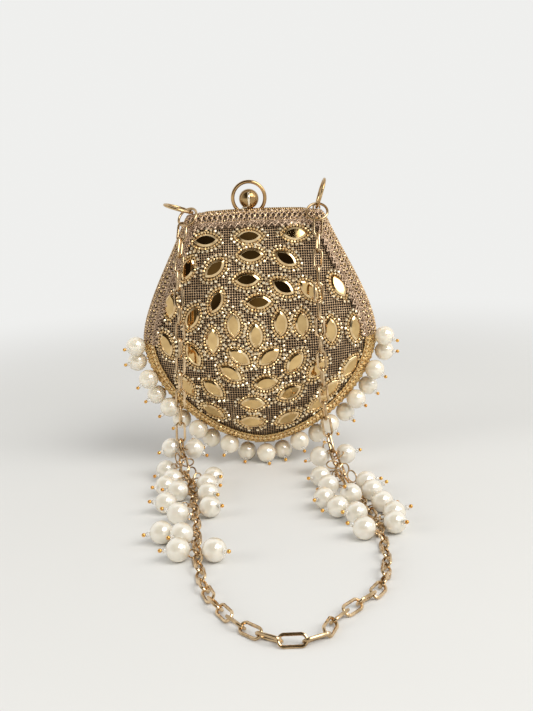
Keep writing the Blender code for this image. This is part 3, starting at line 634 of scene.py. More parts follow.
OUTLINE = rim_outline()
antique_gold = metal_finish("antique_gold", (0.68, 0.48, 0.25), (0.48, 0.31, 0.14), 0.14, 0.32)
HALVES = (("front", -1, "front_half"), ("back", 1, "back_half"))
for side, half, body in HALVES:
    frame_hoop(side + "_hoop", half, body)
    wire_piece(side + "_frame_cord", rope_line(half), ROPE_WIRE, antique_gold, body, 1)

# The shells: pressed brass cups inside the covers, seen only at the rim and through the mesh.
# Each is lined with bronze satin, cut in one piece and glued in with a few soft creases.
BELLY_DEPTH = 24.0 * MM
BELLY_Z = 61.8 * MM
TOP_DOME = (2.0, 0.9)
SIDE_DOME = (2.2, 0.7)
BOTTOM_DOME = (2.5, 0.485)
LAYER_START = 2.15 * MM
COVER_INSET = 1.55 * MM
COVER_THICKNESS = 0.6 * MM
LINING_INSET = 4.05 * MM
LINING_THICKNESS = 0.6 * MM
DOME_BANDS = 26
CENTRE = Vector((0.0, BELLY_Z))


def dome_share(direction, share):
    """How far out the dome stands, 1 at its deepest point and 0 at the rim."""
    upward = direction.normalized().y
    end = TOP_DOME if upward > 0 else BOTTOM_DOME
    power = SIDE_DOME[0] + (end[0] - SIDE_DOME[0]) * abs(upward)
    fullness = SIDE_DOME[1] + (end[1] - SIDE_DOME[1]) * abs(upward)
    return max(0.0, 1.0 - share**power) ** fullness


def dome_point(rim_point, share, inset, half):
    """A point of the dome between its deepest point (share 0) and a rim point (share 1)."""
    reach = rim_point - CENTRE
    depth = LAYER_START + (BELLY_DEPTH - LAYER_START - inset) * dome_share(reach, share)
    flat = CENTRE + reach * share
    return Vector((flat.x, half * depth, flat.y))


def dome_cup(name, inset, thickness, half, finish, body):
    """A sphere folded into a thin cup, with a map that lies flat on its outer skin."""
    outer, inner = moved_in(OUTLINE, inset), moved_in(OUTLINE, inset + thickness)
    shares = [sin(pi / 2 * ring / DOME_BANDS) for ring in range(DOME_BANDS + 1)]
    latitudes = 2 * DOME_BANDS + 1
    bm = bmesh.new()
    made = bmesh.ops.create_uvsphere(bm, u_segments=COLUMNS, v_segments=latitudes, radius=1.0)
    skin = {}
    for column, rim_point in enumerate(outer):
        section = [dome_point(rim_point, share, inset, half) for share in shares]
        for ring, reach in enumerate(walked(section)):
            skin[ring, column] = CENTRE + (rim_point - CENTRE).normalized() * reach
    flat = {}
    for vert in made["verts"]:
        latitude = round(acos(max(-1.0, min(1.0, vert.co.z))) / pi * latitudes)
        column = round(atan2(vert.co.y, vert.co.x) / tau * COLUMNS) % COLUMNS
        ring = latitude if latitude <= DOME_BANDS else latitudes - latitude
        rim, depth = (outer, inset) if latitude <= DOME_BANDS else (inner, inset + thickness)
        vert.co = dome_point(rim[column], shares[ring], depth, half)
        flat[vert] = skin[ring, column]
    uv = bm.loops.layers.uv.new("cloth")
    for face in bm.faces:
        for loop in face.loops:
            loop[uv].uv = flat[loop.vert]
    bmesh.ops.recalc_face_normals(bm, faces=bm.faces)
    if bm.calc_volume(signed=True) < 0:
        bmesh.ops.reverse_faces(bm, faces=bm.faces)
    piece = add_piece(name, bm, [finish], body, 60.0)
    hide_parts(name)
    return piece


def satin_finish(name):
    """Bronze satin: fine cross threads, a soft sheen and a few creases, with painted shade in the folds.
    """
    made, shader, spot = new_finish(name, {"Sheen Weight": 0.5, "Sheen Roughness": 0.35}, True)
    weave = joined("TexWave", {"Vector": spot, "Scale": 900.0, "Distortion": 0.6}, "Fac")
    crease = {"Vector": spot, "Scale": 34.0, "Detail": 3.0, "Distortion": 1.2}
    fold = joined("TexNoise", crease, "Fac")
    # Painted shade and light: the colour darkens in the low parts of the creases and lightens on their
    # ridges.
    tone = mix_colours(ramp(fold, 0.3, 0.7), (0.24, 0.155, 0.08), (0.42, 0.30, 0.17))
    tone = mix_colours(ramp(weave, 0.0, 1.0, 0.0, 0.35), tone, (0.20, 0.13, 0.07))
    creased = {"Height": fold, "Strength": 0.6, "Distance": 2.5 * MM}
    creased["Normal"] = relief(weave, 0.25, 0.1 * MM)
    feed(shader, tone, ramp(fold, 0.3, 0.7, 0.55, 0.42), joined("Bump", creased))
    return made


satin = satin_finish("lining_satin")
shell_brass = metal_finish("shell_brass", (0.42, 0.31, 0.18), (0.30, 0.21, 0.12), 0.38, 0.55)
for side, half, body in HALVES:
    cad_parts[side + "_shell"].material_slots[0].material = shell_brass
    lining = dome_cup(side + "_lining", LINING_INSET, LINING_THICKNESS, half, satin, body)

# The covers: fine openwork of bronze wire thread, like tiny square lattice, stretched and glued
# over each shell. The wires are brownish gold; the holes are painted shade, nearly black, and the wires
# darken towards them.
MESH_PITCH = 1.28 * MM
MESH_WANDER = 1.1 * MM
MESH_DRIFT = 45.0


def vectors(operation, inputs):
    return joined("VectorMath", inputs, operation=operation)


def mesh_finish(name):
    """Square lattice on the cloth's own map: crossings, thinner wires, and holes and low wires painted in
    shade.
    """
    made, shader, spot = new_finish(name, {"Metallic": 0.5}, True)
    wander = joined("TexNoise", {"Vector": spot, "Scale": MESH_DRIFT}, "Color")
    wander = vectors("ADD", {0: wander, 1: (-0.5, -0.5, -0.5)})
    wander = vectors("SCALE", {0: wander, "Scale": MESH_WANDER})
    spot = vectors("ADD", {0: spot, 1: wander})
    cell = vectors("SCALE", {0: spot, "Scale": 1.0 / MESH_PITCH})
    wires = []
    for axis in range(2):
        turn = maths("MULTIPLY", joined("SeparateXYZ", {0: cell}, axis), tau)
        wires.append(maths("COSINE", turn))
    crossing = maths("MULTIPLY", maths("ADD", *wires), 0.25)
    wire = maths("MULTIPLY", maths("MAXIMUM", *wires), 0.5)
    height = maths("ADD", crossing, wire)
    each = joined("TexWhiteNoise", {"Vector": vectors("FLOOR", {0: cell})}, "Value")
    patch = noise(spot, 120.0)
    bright = mix_colours(each, (0.37, 0.235, 0.125), (0.88, 0.63, 0.38))
    bright = mix_colours(ramp(patch, 0.35, 0.65), (0.44, 0.29, 0.155), bright)
    # Painted shade: the holes go nearly black and the wires darken where the relief is low.
    tone = mix_colours(ramp(height, 0.28, 0.66), (0.012, 0.007, 0.004), bright)
    feed(shader, tone, ramp(height, 0.0, 0.8, 0.75, 0.33), relief(height, 0.9, 0.28 * MM))
    return made


lattice = mesh_finish("bronze_lattice")
for side, half, body in HALVES:
    name = side + "_cover"
    dome_cup(name, COVER_INSET, COVER_THICKNESS, half, lattice, body)

# The mirrors: forty marquise plates of polished gold glass in stamped gilt bezels, sewn on each
# cover. Round every one goes a ring of small cut beads, and outside it a looser one of larger,
# brighter beads. Both thin out towards the bottom.
MIRRORS = (
    (19.8, 119.2, 0), (-3.3, 118.7, 0), (-24.9, 117.7, 0), (-2.7, 109.9, 0), (14.5, 107.6, -35),
    (-20.9, 104.2, 40), (-34.7, 104.0, 65), (-5.1, 98.2, 0), (12.4, 94.0, -35), (40.5, 92.1, -60),
    (25.5, 91.6, -45), (-20.8, 88.1, 65), (0.2, 87.1, 0), (-44.5, 85.5, 90), (-33.3, 80.0, 65),
    (-12.7, 76.2, 90), (10.6, 76.2, 90), (21.2, 75.4, 90), (35.6, 70.9, 90), (-1.9, 70.6, 90),
    (48.2, 70.4, 90), (-23.6, 68.6, 90), (-47.4, 66.2, -65), (-33.7, 61.5, -60), (-10.6, 60.3, -35),
    (4.1, 59.8, 35), (17.0, 56.4, 50), (-15.3, 52.1, -35), (28.0, 51.9, 45), (45.2, 50.9, 50),
    (2.0, 46.3, 10), (-38.3, 45.1, -60), (-24.6, 44.1, -40), (13.9, 40.7, 25), (34.2, 40.3, 40),
    (-5.0, 35.8, 0), (28.4, 33.3, 35), (-25.4, 31.5, -25), (12.5, 26.5, 25), (-6.0, 25.4, 0),
)
MIRROR_LENGTH = 12.8 * MM
MIRROR_WIDTH = 7.0 * MM
# Degrees by which single mirrors are tipped up and to the right, to catch the room as real ones do.
TIPPED = {
    0: (-4.2, 2.2), 5: (3.9, 1.5), 6: (4.8, 12.2), 9: (6.7, -5.1), 10: (-0.4, -4.3), 11: (4.3, 2.6),
    13: (-7.9, 1.2),
}
UNEVEN = 2.5
# Millimetres outwards and up of each step in a plate's edge.
PLATE_STEPS = ((0.0, -0.5), (0.0, 0.65), (-0.12, 0.78), (-1.08, 1.24), (-1.15, 1.17))
PLATE_CORNERS = 28
POINTED = 1.25
BEAD = 1.5 * MM
BEAD_PITCH = 1.58 * MM
BEAD_OFF = 0.85 * MM
BEAD_CHANCE = 1.2
SPARK = 1.8 * MM
SPARK_PITCH = 2.2 * MM
SPARK_OFF = 2.35 * MM
SPARK_CHANCE = 0.90
LOW_THINNING = 0.5
BEAD_LIFT = 0.42
RING_POINTS = 72
ANY_WAY = ((-1, 1), (-1, 1), (-1, 1))
NEAR = 20 * MM
CROWDED = 0.45 * MM
BRAID_EDGE = 5.5 * MM

cover_rim = moved_in(OUTLINE, COVER_INSET)
rim_angles = [atan2((p - CENTRE).x, -(p - CENTRE).y) % tau for p in cover_rim]


def rim_towards(x, z):
    """The cover's rim point in the direction of a place, seen from the deepest point."""
    angle = atan2(x, -(z - BELLY_Z)) % tau
    index = bisect_right(rim_angles, angle) - 1
    a, b = cover_rim[index], cover_rim[(index + 1) % COLUMNS]
    away = Vector((x, z - BELLY_Z)).normalized()
    edge = b - a
    reach = (edge.x * (a - CENTRE).y - edge.y * (a - CENTRE).x) / (edge.x * away.y - edge.y * away.x)
    return CENTRE + away * reach


def cover_depth(x, z):
    rim_point = rim_towards(x, z + SPECK)
    share = min(1.0, (Vector((x, z)) - CENTRE).length / (rim_point - CENTRE).length)
    return LAYER_START + (BELLY_DEPTH - LAYER_START - COVER_INSET) * dome_share(rim_point - CENTRE, share)


def cover_normal(x, z, step=0.3 * MM):
    across = (cover_depth(x + step, z) - cover_depth(x - step, z)) / (2 * step)
    up = (cover_depth(x, z + step) - cover_depth(x, z - step)) / (2 * step)
    return Vector((-across, -1.0, -up)).normalized()


def onto_cover(point, normal):
    """The place of the front cover that a point reaches along a normal."""
    for _ in range(3):
        gap = -cover_depth(point.x, point.z) - point.y
        point = point + normal * (gap * normal.y)
    return point


def marquise(grow, count):
    """The pointed oval of a mirror, grown outwards all round."""
    half_length, half_width = MIRROR_LENGTH / 2 + grow * POINTED, MIRROR_WIDTH / 2 + grow
    radius = (half_length**2 + half_width**2) / (2 * half_width)
    points = []
    for number in range(count):
        angle = tau * number / count
        x = half_length * cos(angle)
        y = sqrt(max(0.0, radius**2 - x**2)) - (radius - half_width)
        points.append(Vector((x, copysign(max(y, 0.0), sin(angle)), 0.0)))
    return points


def inside_marquise(x, y, grow):
    half_length, half_width = MIRROR_LENGTH / 2 + grow, MIRROR_WIDTH / 2 + grow
    radius = (half_length**2 + half_width**2) / (2 * half_width)
    return abs(x) < half_length and abs(y) < sqrt(radius**2 - x**2) - (radius - half_width)


def mirror_plate():
    """A plate extruded in steps: wall, eased edge, sloping rim, and a flat face set in the rim."""
    bm = bmesh.new()
    bmesh.ops.create_circle(bm, cap_ends=True, segments=PLATE_CORNERS, radius=1.0)
    top = bm.faces[:]
    for step, (grow, height) in enumerate(PLATE_STEPS):
        if step:
            grown = bmesh.ops.extrude_face_region(bm, geom=top)["geom"]
            if step > 1:
                bmesh.ops.delete(bm, geom=top, context="FACES_ONLY")
            top = [item for item in grown if isinstance(item, bmesh.types.BMFace)]
        for vert, point in zip(top[0].verts, marquise(grow * MM, PLATE_CORNERS)):
            vert.co = point + Vector((0, 0, height * MM))
    top[0].material_index = 1
    return template_from(bm)


def cut_bead(width):
    bm = bmesh.new()
    bmesh.ops.create_icosphere(bm, subdivisions=1, radius=width / 2)
    return template_from(bm)


def mirrored_copy(bm):
    """The same piece for the back half, mirrored through the parting plane."""
    copy = bm.copy()
    bmesh.ops.scale(copy, vec=(1, -1, 1), verts=copy.verts)
    bmesh.ops.reverse_faces(copy, faces=copy.faces)
    return copy


def random_turn():
    axis = drawn(ANY_WAY).normalized()
    return Matrix.Rotation(draw.uniform(0, tau), 4, axis)


def add_group(bm, group):
    """Adds a row of beads to a piece in one go, which is quicker than bead by bead."""
    mesh = template_from(group)
    bm.from_mesh(mesh)
    bpy.data.meshes.remove(mesh)


glass_tones = (0.76, 0.53, 0.24), (0.61, 0.41, 0.18)
mirror_glass = metal_finish("mirror_glass", *glass_tones, 0.02, 0.05, 160.0, 300.0, 0.0)
bezel_gold = metal_finish("bezel_gold", (0.86, 0.66, 0.38), (0.70, 0.49, 0.25), 0.07, 0.17)
bead_tones = (1.0, 0.76, 0.41), (0.82, 0.57, 0.27)
bead_gold = metal_finish("bead_gold", *bead_tones, 0.06, 0.16, 900.0, metal=0.6)
spark_tones = (1.0, 0.90, 0.68), (0.92, 0.71, 0.42)
spark_glass = metal_finish("spark_beads", *spark_tones, 0.02, 0.08, 900.0, metal=0.7)
plate, bead, spark = mirror_plate(), cut_bead(BEAD), cut_bead(SPARK)

mirror_frames = []
for x, z, angle in MIRRORS:
    x, z = x * MM, z * MM
    normal = cover_normal(x, z)
    along = Vector((cos(radians(angle)), 0.0, sin(radians(angle))))
    along = (along - normal * along.dot(normal)).normalized()
    across = normal.cross(along)
    centre = Vector((x, -cover_depth(x, z), z))
    mirror_frames.append((centre, along, across, normal))

plates, beads, sparks = bmesh.new(), bmesh.new(), bmesh.new()
for number, (centre, along, across, normal) in enumerate(mirror_frames):
    up, right = TIPPED.get(number, (0.0, 0.0))
    tip = Matrix.Rotation(radians(right), 4, "Z") @ Matrix.Rotation(radians(-up), 4, "X")
    slack = 0.0 if number in TIPPED else UNEVEN
    tip = tip @ Matrix.Rotation(radians(draw.uniform(-slack, slack)), 4, along)
    tip = tip @ Matrix.Rotation(radians(draw.uniform(-slack, slack)), 4, across)
    turn = Matrix((along, across, normal)).transposed().to_4x4()
    add_copy(plates, plate, Matrix.Translation(centre) @ tip @ turn)
    near = [other for other in mirror_frames if 0 < (other[0] - centre).length < NEAR]
    thinned = LOW_THINNING * max(0.0, 1.0 - centre.z / BELLY_Z)
    for target, template, width, grow, spacing, chance in (
        (beads, bead, BEAD, BEAD_OFF, BEAD_PITCH, BEAD_CHANCE),
        (sparks, spark, SPARK, SPARK_OFF, SPARK_PITCH, SPARK_CHANCE),
    ):
        ring = marquise(grow, RING_POINTS)
        ring.append(ring[0])
        total = walked(ring)
        count = round(total[-1] / spacing)
        group = bmesh.new()
        for step in range(count):
            spot, _ = at_distance(ring, total, total[-1] * step / count)
            if draw.random() > chance - thinned:  # a chance over 1 leaves upper rings whole
                continue
            place = onto_cover(centre + along * spot.x + across * spot.y, normal)
            crowded = any(
                inside_marquise((place - middle).dot(long_way), (place - middle).dot(short_way), CROWDED)
                for middle, long_way, short_way, _ in near
            )
            rim_point = rim_towards(place.x, place.z)
            if crowded or (rim_point - Vector((place.x, place.z))).length < BRAID_EDGE:
                continue
            lift = normal * (width * BEAD_LIFT)
            add_copy(group, template, Matrix.Translation(place + lift) @ random_turn())
        add_group(target, group)
for side, half, body in HALVES:
    for name, source, finishes in (
        ("mirrors", plates, [bezel_gold, mirror_glass]),
        ("mirror_beads", beads, [bead_gold]),
        ("bright_beads", sparks, [spark_glass]),
    ):
        bm = source.copy() if side == "front" else mirrored_copy(source)
        add_piece(f"{side}_{name}", bm, finishes, body, 20.0)

# The upper braid: pinkish-gold metal lace along the top edge and both sides, on a net ground.
# Paired wavy cords cross to eyelets with a bead in each, between straight cords and picots.
BRAID_INSET = 1.1 * MM
UPPER_WIDTH = 7.4 * MM
LACE_REPEAT = 5.6
BAND_ROWS = 10
BAND_PITCH = 0.5 * MM
BAND_SAMPLES = 24
NET_THICKNESS = 0.5 * MM
NET_MAP_WIDTH = 10 * MM
CORD_STEPS = 16
CORD_WEAVE = 0.12 * MM
SCALLOP_STEPS = 8
RING_CLEAR = 2.6 * MM

# Twice round, because the lower braid runs across the outline's first point.
braid_rim = moved_in(OUTLINE, BRAID_INSET) * 2
braid_walk = walked(braid_rim)


def band_grid(first, last, width):
    """Columns of evenly spaced points across a band of braid, every half millimetre along it."""
    start, end = braid_walk[COLUMNS + first], braid_walk[COLUMNS + last]
    count = round((end - start) / BAND_PITCH)
    grid = []
    for number in range(count + 1):
        along = start + (end - start) * number / count
        rim_point, _ = at_distance(braid_rim, braid_walk, along)
        band = width / (rim_point - CENTRE).length
        fine = []
        for step in range(BAND_SAMPLES + 1):
            share = 1 - band * (step / BAND_SAMPLES) ** 2
            fine.append(dome_point(rim_point, share, BRAID_INSET, -1))
        total = walked(fine)
        distances = [total[-1] * row / BAND_ROWS for row in range(BAND_ROWS + 1)]
        grid.append([at_distance(fine, total, distance)[0] for distance in distances])
    return grid, end - start


def band_place(grid, length, along, across, lift):
    """A point of a band, given how far along it is, its share across and its height above it."""
    u = min(max(along / length, 0.0), 1.0) * (len(grid) - 1)
    v = min(max(across, 0.0), 1.0) * BAND_ROWS
    i, j = min(int(u), len(grid) - 2), min(int(v), BAND_ROWS - 1)
    near = grid[i][j].lerp(grid[i][j + 1], v - j)
    far = grid[i + 1][j].lerp(grid[i + 1][j + 1], v - j)
    run = far - near
    inward = grid[i][j + 1] - grid[i][j]
    normal = run.cross(inward).normalized()
    return near.lerp(far, u - i) + normal * lift


def net_band(name, grid, length, half, finish, body):
    """The net under a braid, a strip that follows the cover, with its own flat map."""
    columns = len(grid) - 1
    bm = bmesh.new()
    bmesh.ops.create_grid(bm, x_segments=columns, y_segments=BAND_ROWS, size=1.0)
    uv = bm.loops.layers.uv.new("net")
    for face in bm.faces:
        for loop in face.loops:
            along, across = (loop.vert.co.xy + Vector((1, 1))) / 2
            loop[uv].uv = (along * length, across * NET_MAP_WIDTH)
    for vert in bm.verts:
        along, across = (vert.co.xy + Vector((1, 1))) / 2
        point = grid[round(along * columns)][round(across * BAND_ROWS)]
        vert.co = (point.x, -half * point.y, point.z)
    bm.normal_update()
    outward = sum(f.normal.dot(f.calc_center_median() - Vector((0, 0, BELLY_Z))) for f in bm.faces)
    if outward < 0:
        bmesh.ops.reverse_faces(bm, faces=bm.faces)
    piece = add_piece(name, bm, [finish], body, 60.0)
    wall = piece.modifiers.new("thickness", "SOLIDIFY")
    wall.thickness = NET_THICKNESS
    wall.offset = 1.0
    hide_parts(name)


def net_finish(name, thread, hole_shade):
    """Dull gold net: crossing threads with openings painted in shade, on the strip's own map."""
    made, shader, spot = new_finish(name, {"Metallic": 0.4}, True)
    cells = {"Vector": spot, "Scale": 900.0}
    hole = ramp(joined("TexVoronoi", cells, feature="DISTANCE_TO_EDGE"), 0.04, 0.24)
    bump = relief(hole, 0.7, 0.3 * MM, invert=True)
    # Painted shade: the openings take the dark hole colour.
    feed(shader, mix_colours(hole, thread, hole_shade), ramp(hole, 0.0, 1.0, 0.45, 0.8), bump)
    return made


def thread_finish(name, light, dark, metal=0.8):
    """Metal-wrapped thread: tight wraps that break the gloss into small glints, with painted shade in the
    gaps between them.
    """
    made, shader, spot = new_finish(name, {"Metallic": metal})
    wraps = joined("TexVoronoi", {"Vector": spot, "Scale": 2300.0}, "Distance")
    tone = mix_colours(ramp(noise(spot, 420.0), 0.35, 0.65), dark, light)
    # Painted shade: the recessed gaps between wraps are darkened to a third of the dark tone.
    wrap_gap_shade = tuple(0.3 * channel for channel in dark)
    tone = mix_colours(ramp(wraps, 0.3, 0.9, 0.0, 0.7), tone, wrap_gap_shade)
    bump = relief(wraps, 0.6, 0.15 * MM, invert=True)
    feed(shader, tone, ramp(wraps, 0.2, 0.8, 0.25, 0.5), bump)
    return made


def lace_cords(grid, length, repeat, rows):
    """Cords along a band, each (middle, swing, waves in a repeat, phase, lift), as rows of points."""
    waves = round(length / (repeat * MM))
    steps = waves * CORD_STEPS
    lines = []
    for middle, swing, often, phase, lift in rows:
        line = []
        for step in range(steps + 1):
            angle = tau * (waves * step / steps) * often + phase
            across = middle + swing * sin(angle)
            height = lift * MM + CORD_WEAVE * cos(angle)
            line.append(band_place(grid, length, length * step / steps, across, height))
        lines.append(line)
    return lines


def scallops(grid, length, repeat, middle, depth, lift):
    steps = round(length / (repeat * MM)) * SCALLOP_STEPS
    line = []
    for step in range(steps + 1):
        across = middle + depth * abs(sin(pi * step / SCALLOP_STEPS))
        line.append(band_place(grid, length, length * step / steps, across, lift * MM))
    return line


def bead_row(bm, template, grid, length, spacing, across, lift):
    """Beads or knots along a band, left out where the corner rings swing over its edge."""
    count = round(length / (spacing * MM))
    group = bmesh.new()
    for number in range(count):
        place = band_place(grid, length, (number + 0.5) * length / count, across, lift * MM)
        turn = random_turn()
        if Vector((abs(place.x) - UNDER_RINGS, 0, place.z - BODY_TOP)).length > RING_CLEAR:
            add_copy(group, template, Matrix.Translation(place) @ turn)
    add_group(bm, group)


def behind(lines):
    return [[Vector((p.x, -p.y, p.z)) for p in line] for line in lines]


def thread_knot(width):
    """A small round knot of thread, a little flattened."""
    bm = bmesh.new()
    bmesh.ops.create_icosphere(bm, subdivisions=2, radius=width / 2)
    bmesh.ops.scale(bm, vec=(1.0, 0.85, 1.1), verts=bm.verts)
    return template_from(bm)


def lay_braid(name, first, last, width, thick, thin, beads_at, knots_at, thread, net):
    """Net, cords, beads and knots of one braid, on the front half and mirrored on the back half.

    Lengths in the rows are in millimetres, and middles and swings are shares of the braid's width.
    """
    grid, length = band_grid(first, last, width)
    beads, knots = bmesh.new(), bmesh.new()
    for target, rows in ((beads, beads_at), (knots, knots_at)):
        for template, spacing, across, lift in rows:
            bead_row(target, template, grid, length, spacing, across, lift)
    cords = []
    for kind, (wire, repeat, waves, edges) in (("cords", thick), ("fine_cords", thin)):
        lines = lace_cords(grid, length, repeat, waves)
        lines += [scallops(grid, length, *row) for row in edges]
        cords.append((kind, wire * MM, lines))
    groups = (("beads", beads, bead_gold, 20.0), ("knots", knots, thread, 60.0))
    for side, half, body in HALVES:
        net_band(f"{side}_{name}", grid, length, half, net, body)
        for kind, group, finish, sharp in groups:
            bm = group.copy() if half < 0 else mirrored_copy(group)
            add_piece(f"{side}_{name}_{kind}", bm, [finish], body, sharp)
        for kind, wire, lines in cords:
            lines = lines if half < 0 else behind(lines)
            wire_piece(f"{side}_{name}_{kind}", lines, wire, thread, body, 1)


pink_thread = thread_finish("pink_gold_thread", (0.84, 0.63, 0.45), (0.52, 0.36, 0.235))
gold_net = net_finish("gold_net", (0.24, 0.155, 0.09), (0.022, 0.013, 0.007))
small_bead, eyelet_bead = cut_bead(1.0 * MM), cut_bead(1.5 * MM)
small_knot, edge_knot = thread_knot(1.5 * MM), thread_knot(2.0 * MM)
lay_braid(
    "upper_braid", WIDEST_COLUMN, COLUMNS - WIDEST_COLUMN, UPPER_WIDTH,
    thick=(0.85, LACE_REPEAT, (
        (0.06, 0.0, 1, 0.0, 0.85), (0.64, 0.0, 1, 0.0, 0.8),
        (0.36, 0.20, 1, 0.0, 1.0), (0.36, 0.20, 1, pi, 1.0),
    ), ((3.7, 0.74, 0.20, 0.85),)),
    thin=(0.55, LACE_REPEAT, (
        (0.13, 0.02, 3, 0.0, 0.8), (0.69, 0.02, 3, 0.0, 0.75),
    ), ((1.85, 0.71, 0.09, 0.75),)),
    beads_at=(
        (eyelet_bead, 2.8, 0.36, 1.0), (small_bead, 1.4, 0.56, 0.75), (small_bead, 1.4, 0.12, 1.25),
    ),
    knots_at=((edge_knot, 2.8, 0.06, 0.95), (small_knot, 3.7, 0.97, 0.7)),
    thread=pink_thread, net=gold_net,
)

# The lower braid: narrower and yellower, along the round of the belly above the pearls. Rows of
# small round beads run beside tightly scalloped gold cords.
LOWER_WIDTH = 5.0 * MM
SCALLOP_REPEAT = 2.8

yellow_net = net_finish("yellow_net", (0.70, 0.45, 0.18), (0.12, 0.07, 0.03))
gold_thread = thread_finish("yellow_gold_thread", (1.0, 0.75, 0.34), (1.0, 0.64, 0.25), 0.5)
shot = cut_bead(2.0 * MM)
lay_braid(
    "lower_braid", -WIDEST_COLUMN, WIDEST_COLUMN, LOWER_WIDTH,
    thick=(0.9, SCALLOP_REPEAT, (
        (0.72, 0.0, 1, 0.0, 0.6), (0.52, 0.12, 1, 0.0, 1.0),
    ), ((SCALLOP_REPEAT, 0.16, 0.16, 0.95),)),
    thin=(0.55, SCALLOP_REPEAT, (
        (0.52, 0.12, 1, pi, 0.75), (0.97, 0.02, 1, 0.0, 0.6),
    ), ((SCALLOP_REPEAT / 2, 0.28, 0.08, 0.8),)),
    beads_at=((shot, 2.3, 0.86, 1.0), (small_bead, 1.4, 0.36, 0.75)),
    knots_at=((edge_knot, SCALLOP_REPEAT, 0.05, 0.9),),
    thread=gold_thread, net=yellow_net,
)

# The clasp: a hollow polished ball on a bent wire stalk soldered to the front frame snaps into a
# wire ring that stands on the back frame.
CLASP_X = -2.6 * MM
CLASP_Y = 1.0 * MM
CLASP_RING_Z = 137.49 * MM
CLASP_RADIUS = 8.15 * MM
CLASP_WIRE = 1.85 * MM
CLASP_FOOT_ANGLE = radians(43.5)
BALL = 10.0 * MM
BALL_Z = 137.09 * MM
STALK_WIRE = 1.3 * MM
STALK = (
    (-2.6, -2.725, 140.29), (-2.6, -4.325, 137.89), (-2.6, -3.925, 134.49),
    (-3.25, -2.125, 133.09), (-5.5, -1.15, 132.79), (-5.8, -1.0, 131.75),
)


def upright_arc(centre, radius, past, steps):
    """Half a circle from right to left over a centre, drawn on at both ends past its width."""
    line = []
    for step in range(steps + 1):
        angle = -past + (pi + 2 * past) * step / steps
        line.append(centre + Vector((cos(angle), 0, sin(angle))) * radius)
    return line


polished = metal_finish("polished_gold", (0.60, 0.39, 0.18), (0.46, 0.28, 0.12), 0.07, 0.16, 140.0)
# Painted highlight: the stalk's gold is much paler than the ball's, standing in for the soft box it
# reflects along its length.
stalk_highlight_gold = metal_finish("stalk_highlight_gold", (0.98, 0.88, 0.70), (0.84, 0.70, 0.50), 0.14, 0.24, 140.0)
line = upright_arc(Vector((CLASP_X, CLASP_Y, CLASP_RING_Z)), CLASP_RADIUS, CLASP_FOOT_ANGLE, steps=60)
clasp_ring = wire_piece("clasp_wire_ring", [line], CLASP_WIRE, polished, "back_half", 4)
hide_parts("clasp_ring")
bm = bmesh.new()
place = Matrix.Translation((CLASP_X, CLASP_Y, BALL_Z))
bmesh.ops.create_uvsphere(bm, u_segments=36, v_segments=24, radius=BALL / 2, matrix=place)
satin_gold = metal_finish("satin_gold", (0.50, 0.34, 0.155), (0.38, 0.235, 0.10), 0.16, 0.26, 140.0)
clasp_ball = add_piece("clasp_gold_ball", bm, [satin_gold], "front_half", 60.0)
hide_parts("clasp_ball")
stalk_line = smooth_line([Vector(p) * MM for p in STALK], 8)
wire_piece("clasp_stalk", [stalk_line], STALK_WIRE, stalk_highlight_gold, "front_half", 3)

# The corner rings: a wire arch on each top corner of the front frame holds a round ring that
# swings sideways, and a slightly smaller strap ring hangs through it over the braid.
EYE = (31.4, -1.0, 131.55)
EYE_RADIUS = 1.6 * MM
EYE_WIRE = 0.9 * MM
EYE_FOOT = 130.75 * MM
CORNER_RING = 16.0 * MM
CORNER_WIRE = 1.5 * MM
STRAP_RING = 11.6 * MM
STRAP_WIRE = 1.3 * MM
STRAP_DROP = Vector((0.0, -2.4 * MM, 1.5 * MM))
# Degrees: the corner ring's lean, and the strap ring's slant, swing and turn.
LEFT_ANGLES = (-72.0, 24.0, 34.0, -35.0)
RIGHT_ANGLES = (18.0, 42.0, 0.0, 0.0)

corner_template = spun_ring(CORNER_RING, CORNER_WIRE, 12, 44)
strap_template = spun_ring(STRAP_RING, STRAP_WIRE, 12, 36)
for side, sign, angles in (("left", -1, LEFT_ANGLES), ("right", 1, RIGHT_ANGLES)):
    lean, slant, swing, turn = (radians(angle) for angle in angles)
    eye = Vector((sign * EYE[0], EYE[1], EYE[2])) * MM
    arch = upright_arc(eye, EYE_RADIUS, 0, steps=16)
    line = [Vector((arch[0].x, eye.y, EYE_FOOT)), *arch, Vector((arch[-1].x, eye.y, EYE_FOOT))]
    arch = wire_piece(side + "_eye_arch", [line], EYE_WIRE, antique_gold, "front_half")
    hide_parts(side + "_eye")

    outward = Vector((sin(lean), 0.0, cos(lean)))
    centre = eye + outward * (CORNER_RING - CORNER_WIRE) / 2
    upright = facing(centre, outward.cross(Vector((0, 1, 0))), outward)
    sideways = -cos(slant) * sin(swing)
    down = Vector((sideways, -sin(slant), -cos(slant) * cos(swing)))
    across = Vector((cos(turn), sin(turn), 0.0))
    across = (across - down * across.dot(down)).normalized()
    centre = eye + STRAP_DROP + down * (STRAP_RING / 2 - STRAP_WIRE)
    hanging = facing(centre, across.cross(down), down)
    for kind, template, place, finish, body, slot in (
        ("corner", corner_template, upright, antique_gold, side + "_ring", "antique_gold"),
        ("strap", strap_template, hanging, rose_gold, "front_half", "rose_gold_chain"),
    ):
        bm = bmesh.new()
        add_copy(bm, template, place)
        ring = add_piece(f"{side}_{kind}_wire_ring", bm, [finish], body)
        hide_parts(f"{side}_{kind}_ring")

# The fringe: single pearls like those on the chain, sewn close together round the lower edge in
# two rows that take turns. Each hangs on a short thread from the braid.
FRINGE_COUNT = 21
BACK_ROW = 2.0 * MM
FRONT_ROW = 7.4 * MM
THREAD = 0.5 * MM
THREAD_REACH = 0.8 * MM
HANG_FROM = 2.92 * MM
THREAD_START = 3.0 * MM
THREAD_SAG = Vector((0, -0.3 * MM, 0))
RIM_GAP = 0.3 * MM
LOOSE_THREAD = 2.0 * MM
LEAST_HANG = 0.72
TIP_FORWARD = (-1.1, -0.6)
TIP_RISE = (-0.2, 0.25)
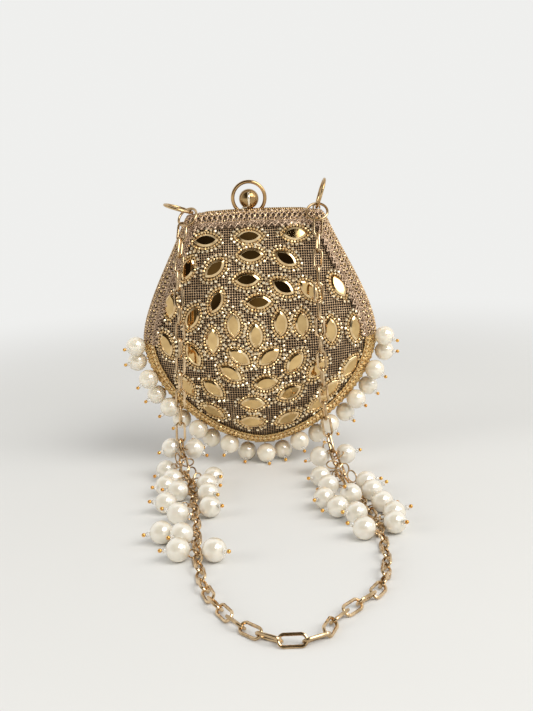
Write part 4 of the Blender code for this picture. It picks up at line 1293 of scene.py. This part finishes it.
# The CAD rim has a corner at every fourth column; a hair on, a corner counts to what follows it.
CAD_COLUMNS = 4
HAIR = 1e-6 * MM

columns = range(-WIDEST_COLUMN, WIDEST_COLUMN + 1, CAD_COLUMNS)
lower_rim = [OUTLINE[column] for column in columns]
rim_walk = walked(lower_rim)
pearls, outwards, threads = [], [], []
for number in range(FRINGE_COUNT):
    rim, run = at_distance(lower_rim, rim_walk, rim_walk[-1] * number / (FRINGE_COUNT - 1) + HAIR)
    outward = Vector((run.y, 0.0, -run.x)).normalized()
    forward = BACK_ROW if number % 2 else FRONT_ROW
    straight = (PEARL / 2 + THREAD_REACH) ** 2 - (forward - HANG_FROM) ** 2
    hang = sqrt(max(straight, (PEARL / 2 * LEAST_HANG) ** 2))
    pearl = Vector((rim.x, -forward, rim.y)) + outward * (RIM_GAP + hang)
    if pearl.z < PEARL / 2 + LOOSE_THREAD:
        pearl.z = PEARL / 2
    tip = outward + Vector((0, draw.uniform(*TIP_FORWARD), draw.uniform(*TIP_RISE)))
    tip.normalize()
    tip.z = max(tip.z, -TIP_DIP)
    foot = Vector((rim.x, -THREAD_START, rim.y)) - outward * THREAD_REACH
    pearls.append(pearl)
    outwards.append(tip.normalized())
    threads.append([foot, (foot + pearl) / 2 + THREAD_SAG, pearl])
fringe_nodes = [f"fringe_pearl_{number:02d}" for number in range(1, FRINGE_COUNT + 1)]
# Painted light: the fringe pearls get a lighter, warmer copy of the pearl finish, standing in for the
# bounce from the table under the belly.
bounce_lit_ivory = pearl_finish("pearl_bounce_lit_ivory", (0.93, 0.86, 0.71), (0.86, 0.77, 0.60))
pearl_drops("fringe", pearls, outwards, fringe_nodes, bounce_lit_ivory)
wire_piece("fringe_threads", threads, THREAD, gold_thread, "front_half", 1)

# The hinge: two folded brass leaves under the bottom of the frames, their knuckles turning on a
# steel pin.
steel = metal_finish("pin_steel", (0.60, 0.59, 0.57), (0.45, 0.44, 0.42), 0.22, 0.40)
nodes = {"front_hinge_leaf": antique_gold, "back_hinge_leaf": antique_gold, "hinge_pin": steel}
for node, finish in nodes.items():
    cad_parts[node].material_slots[0].material = finish
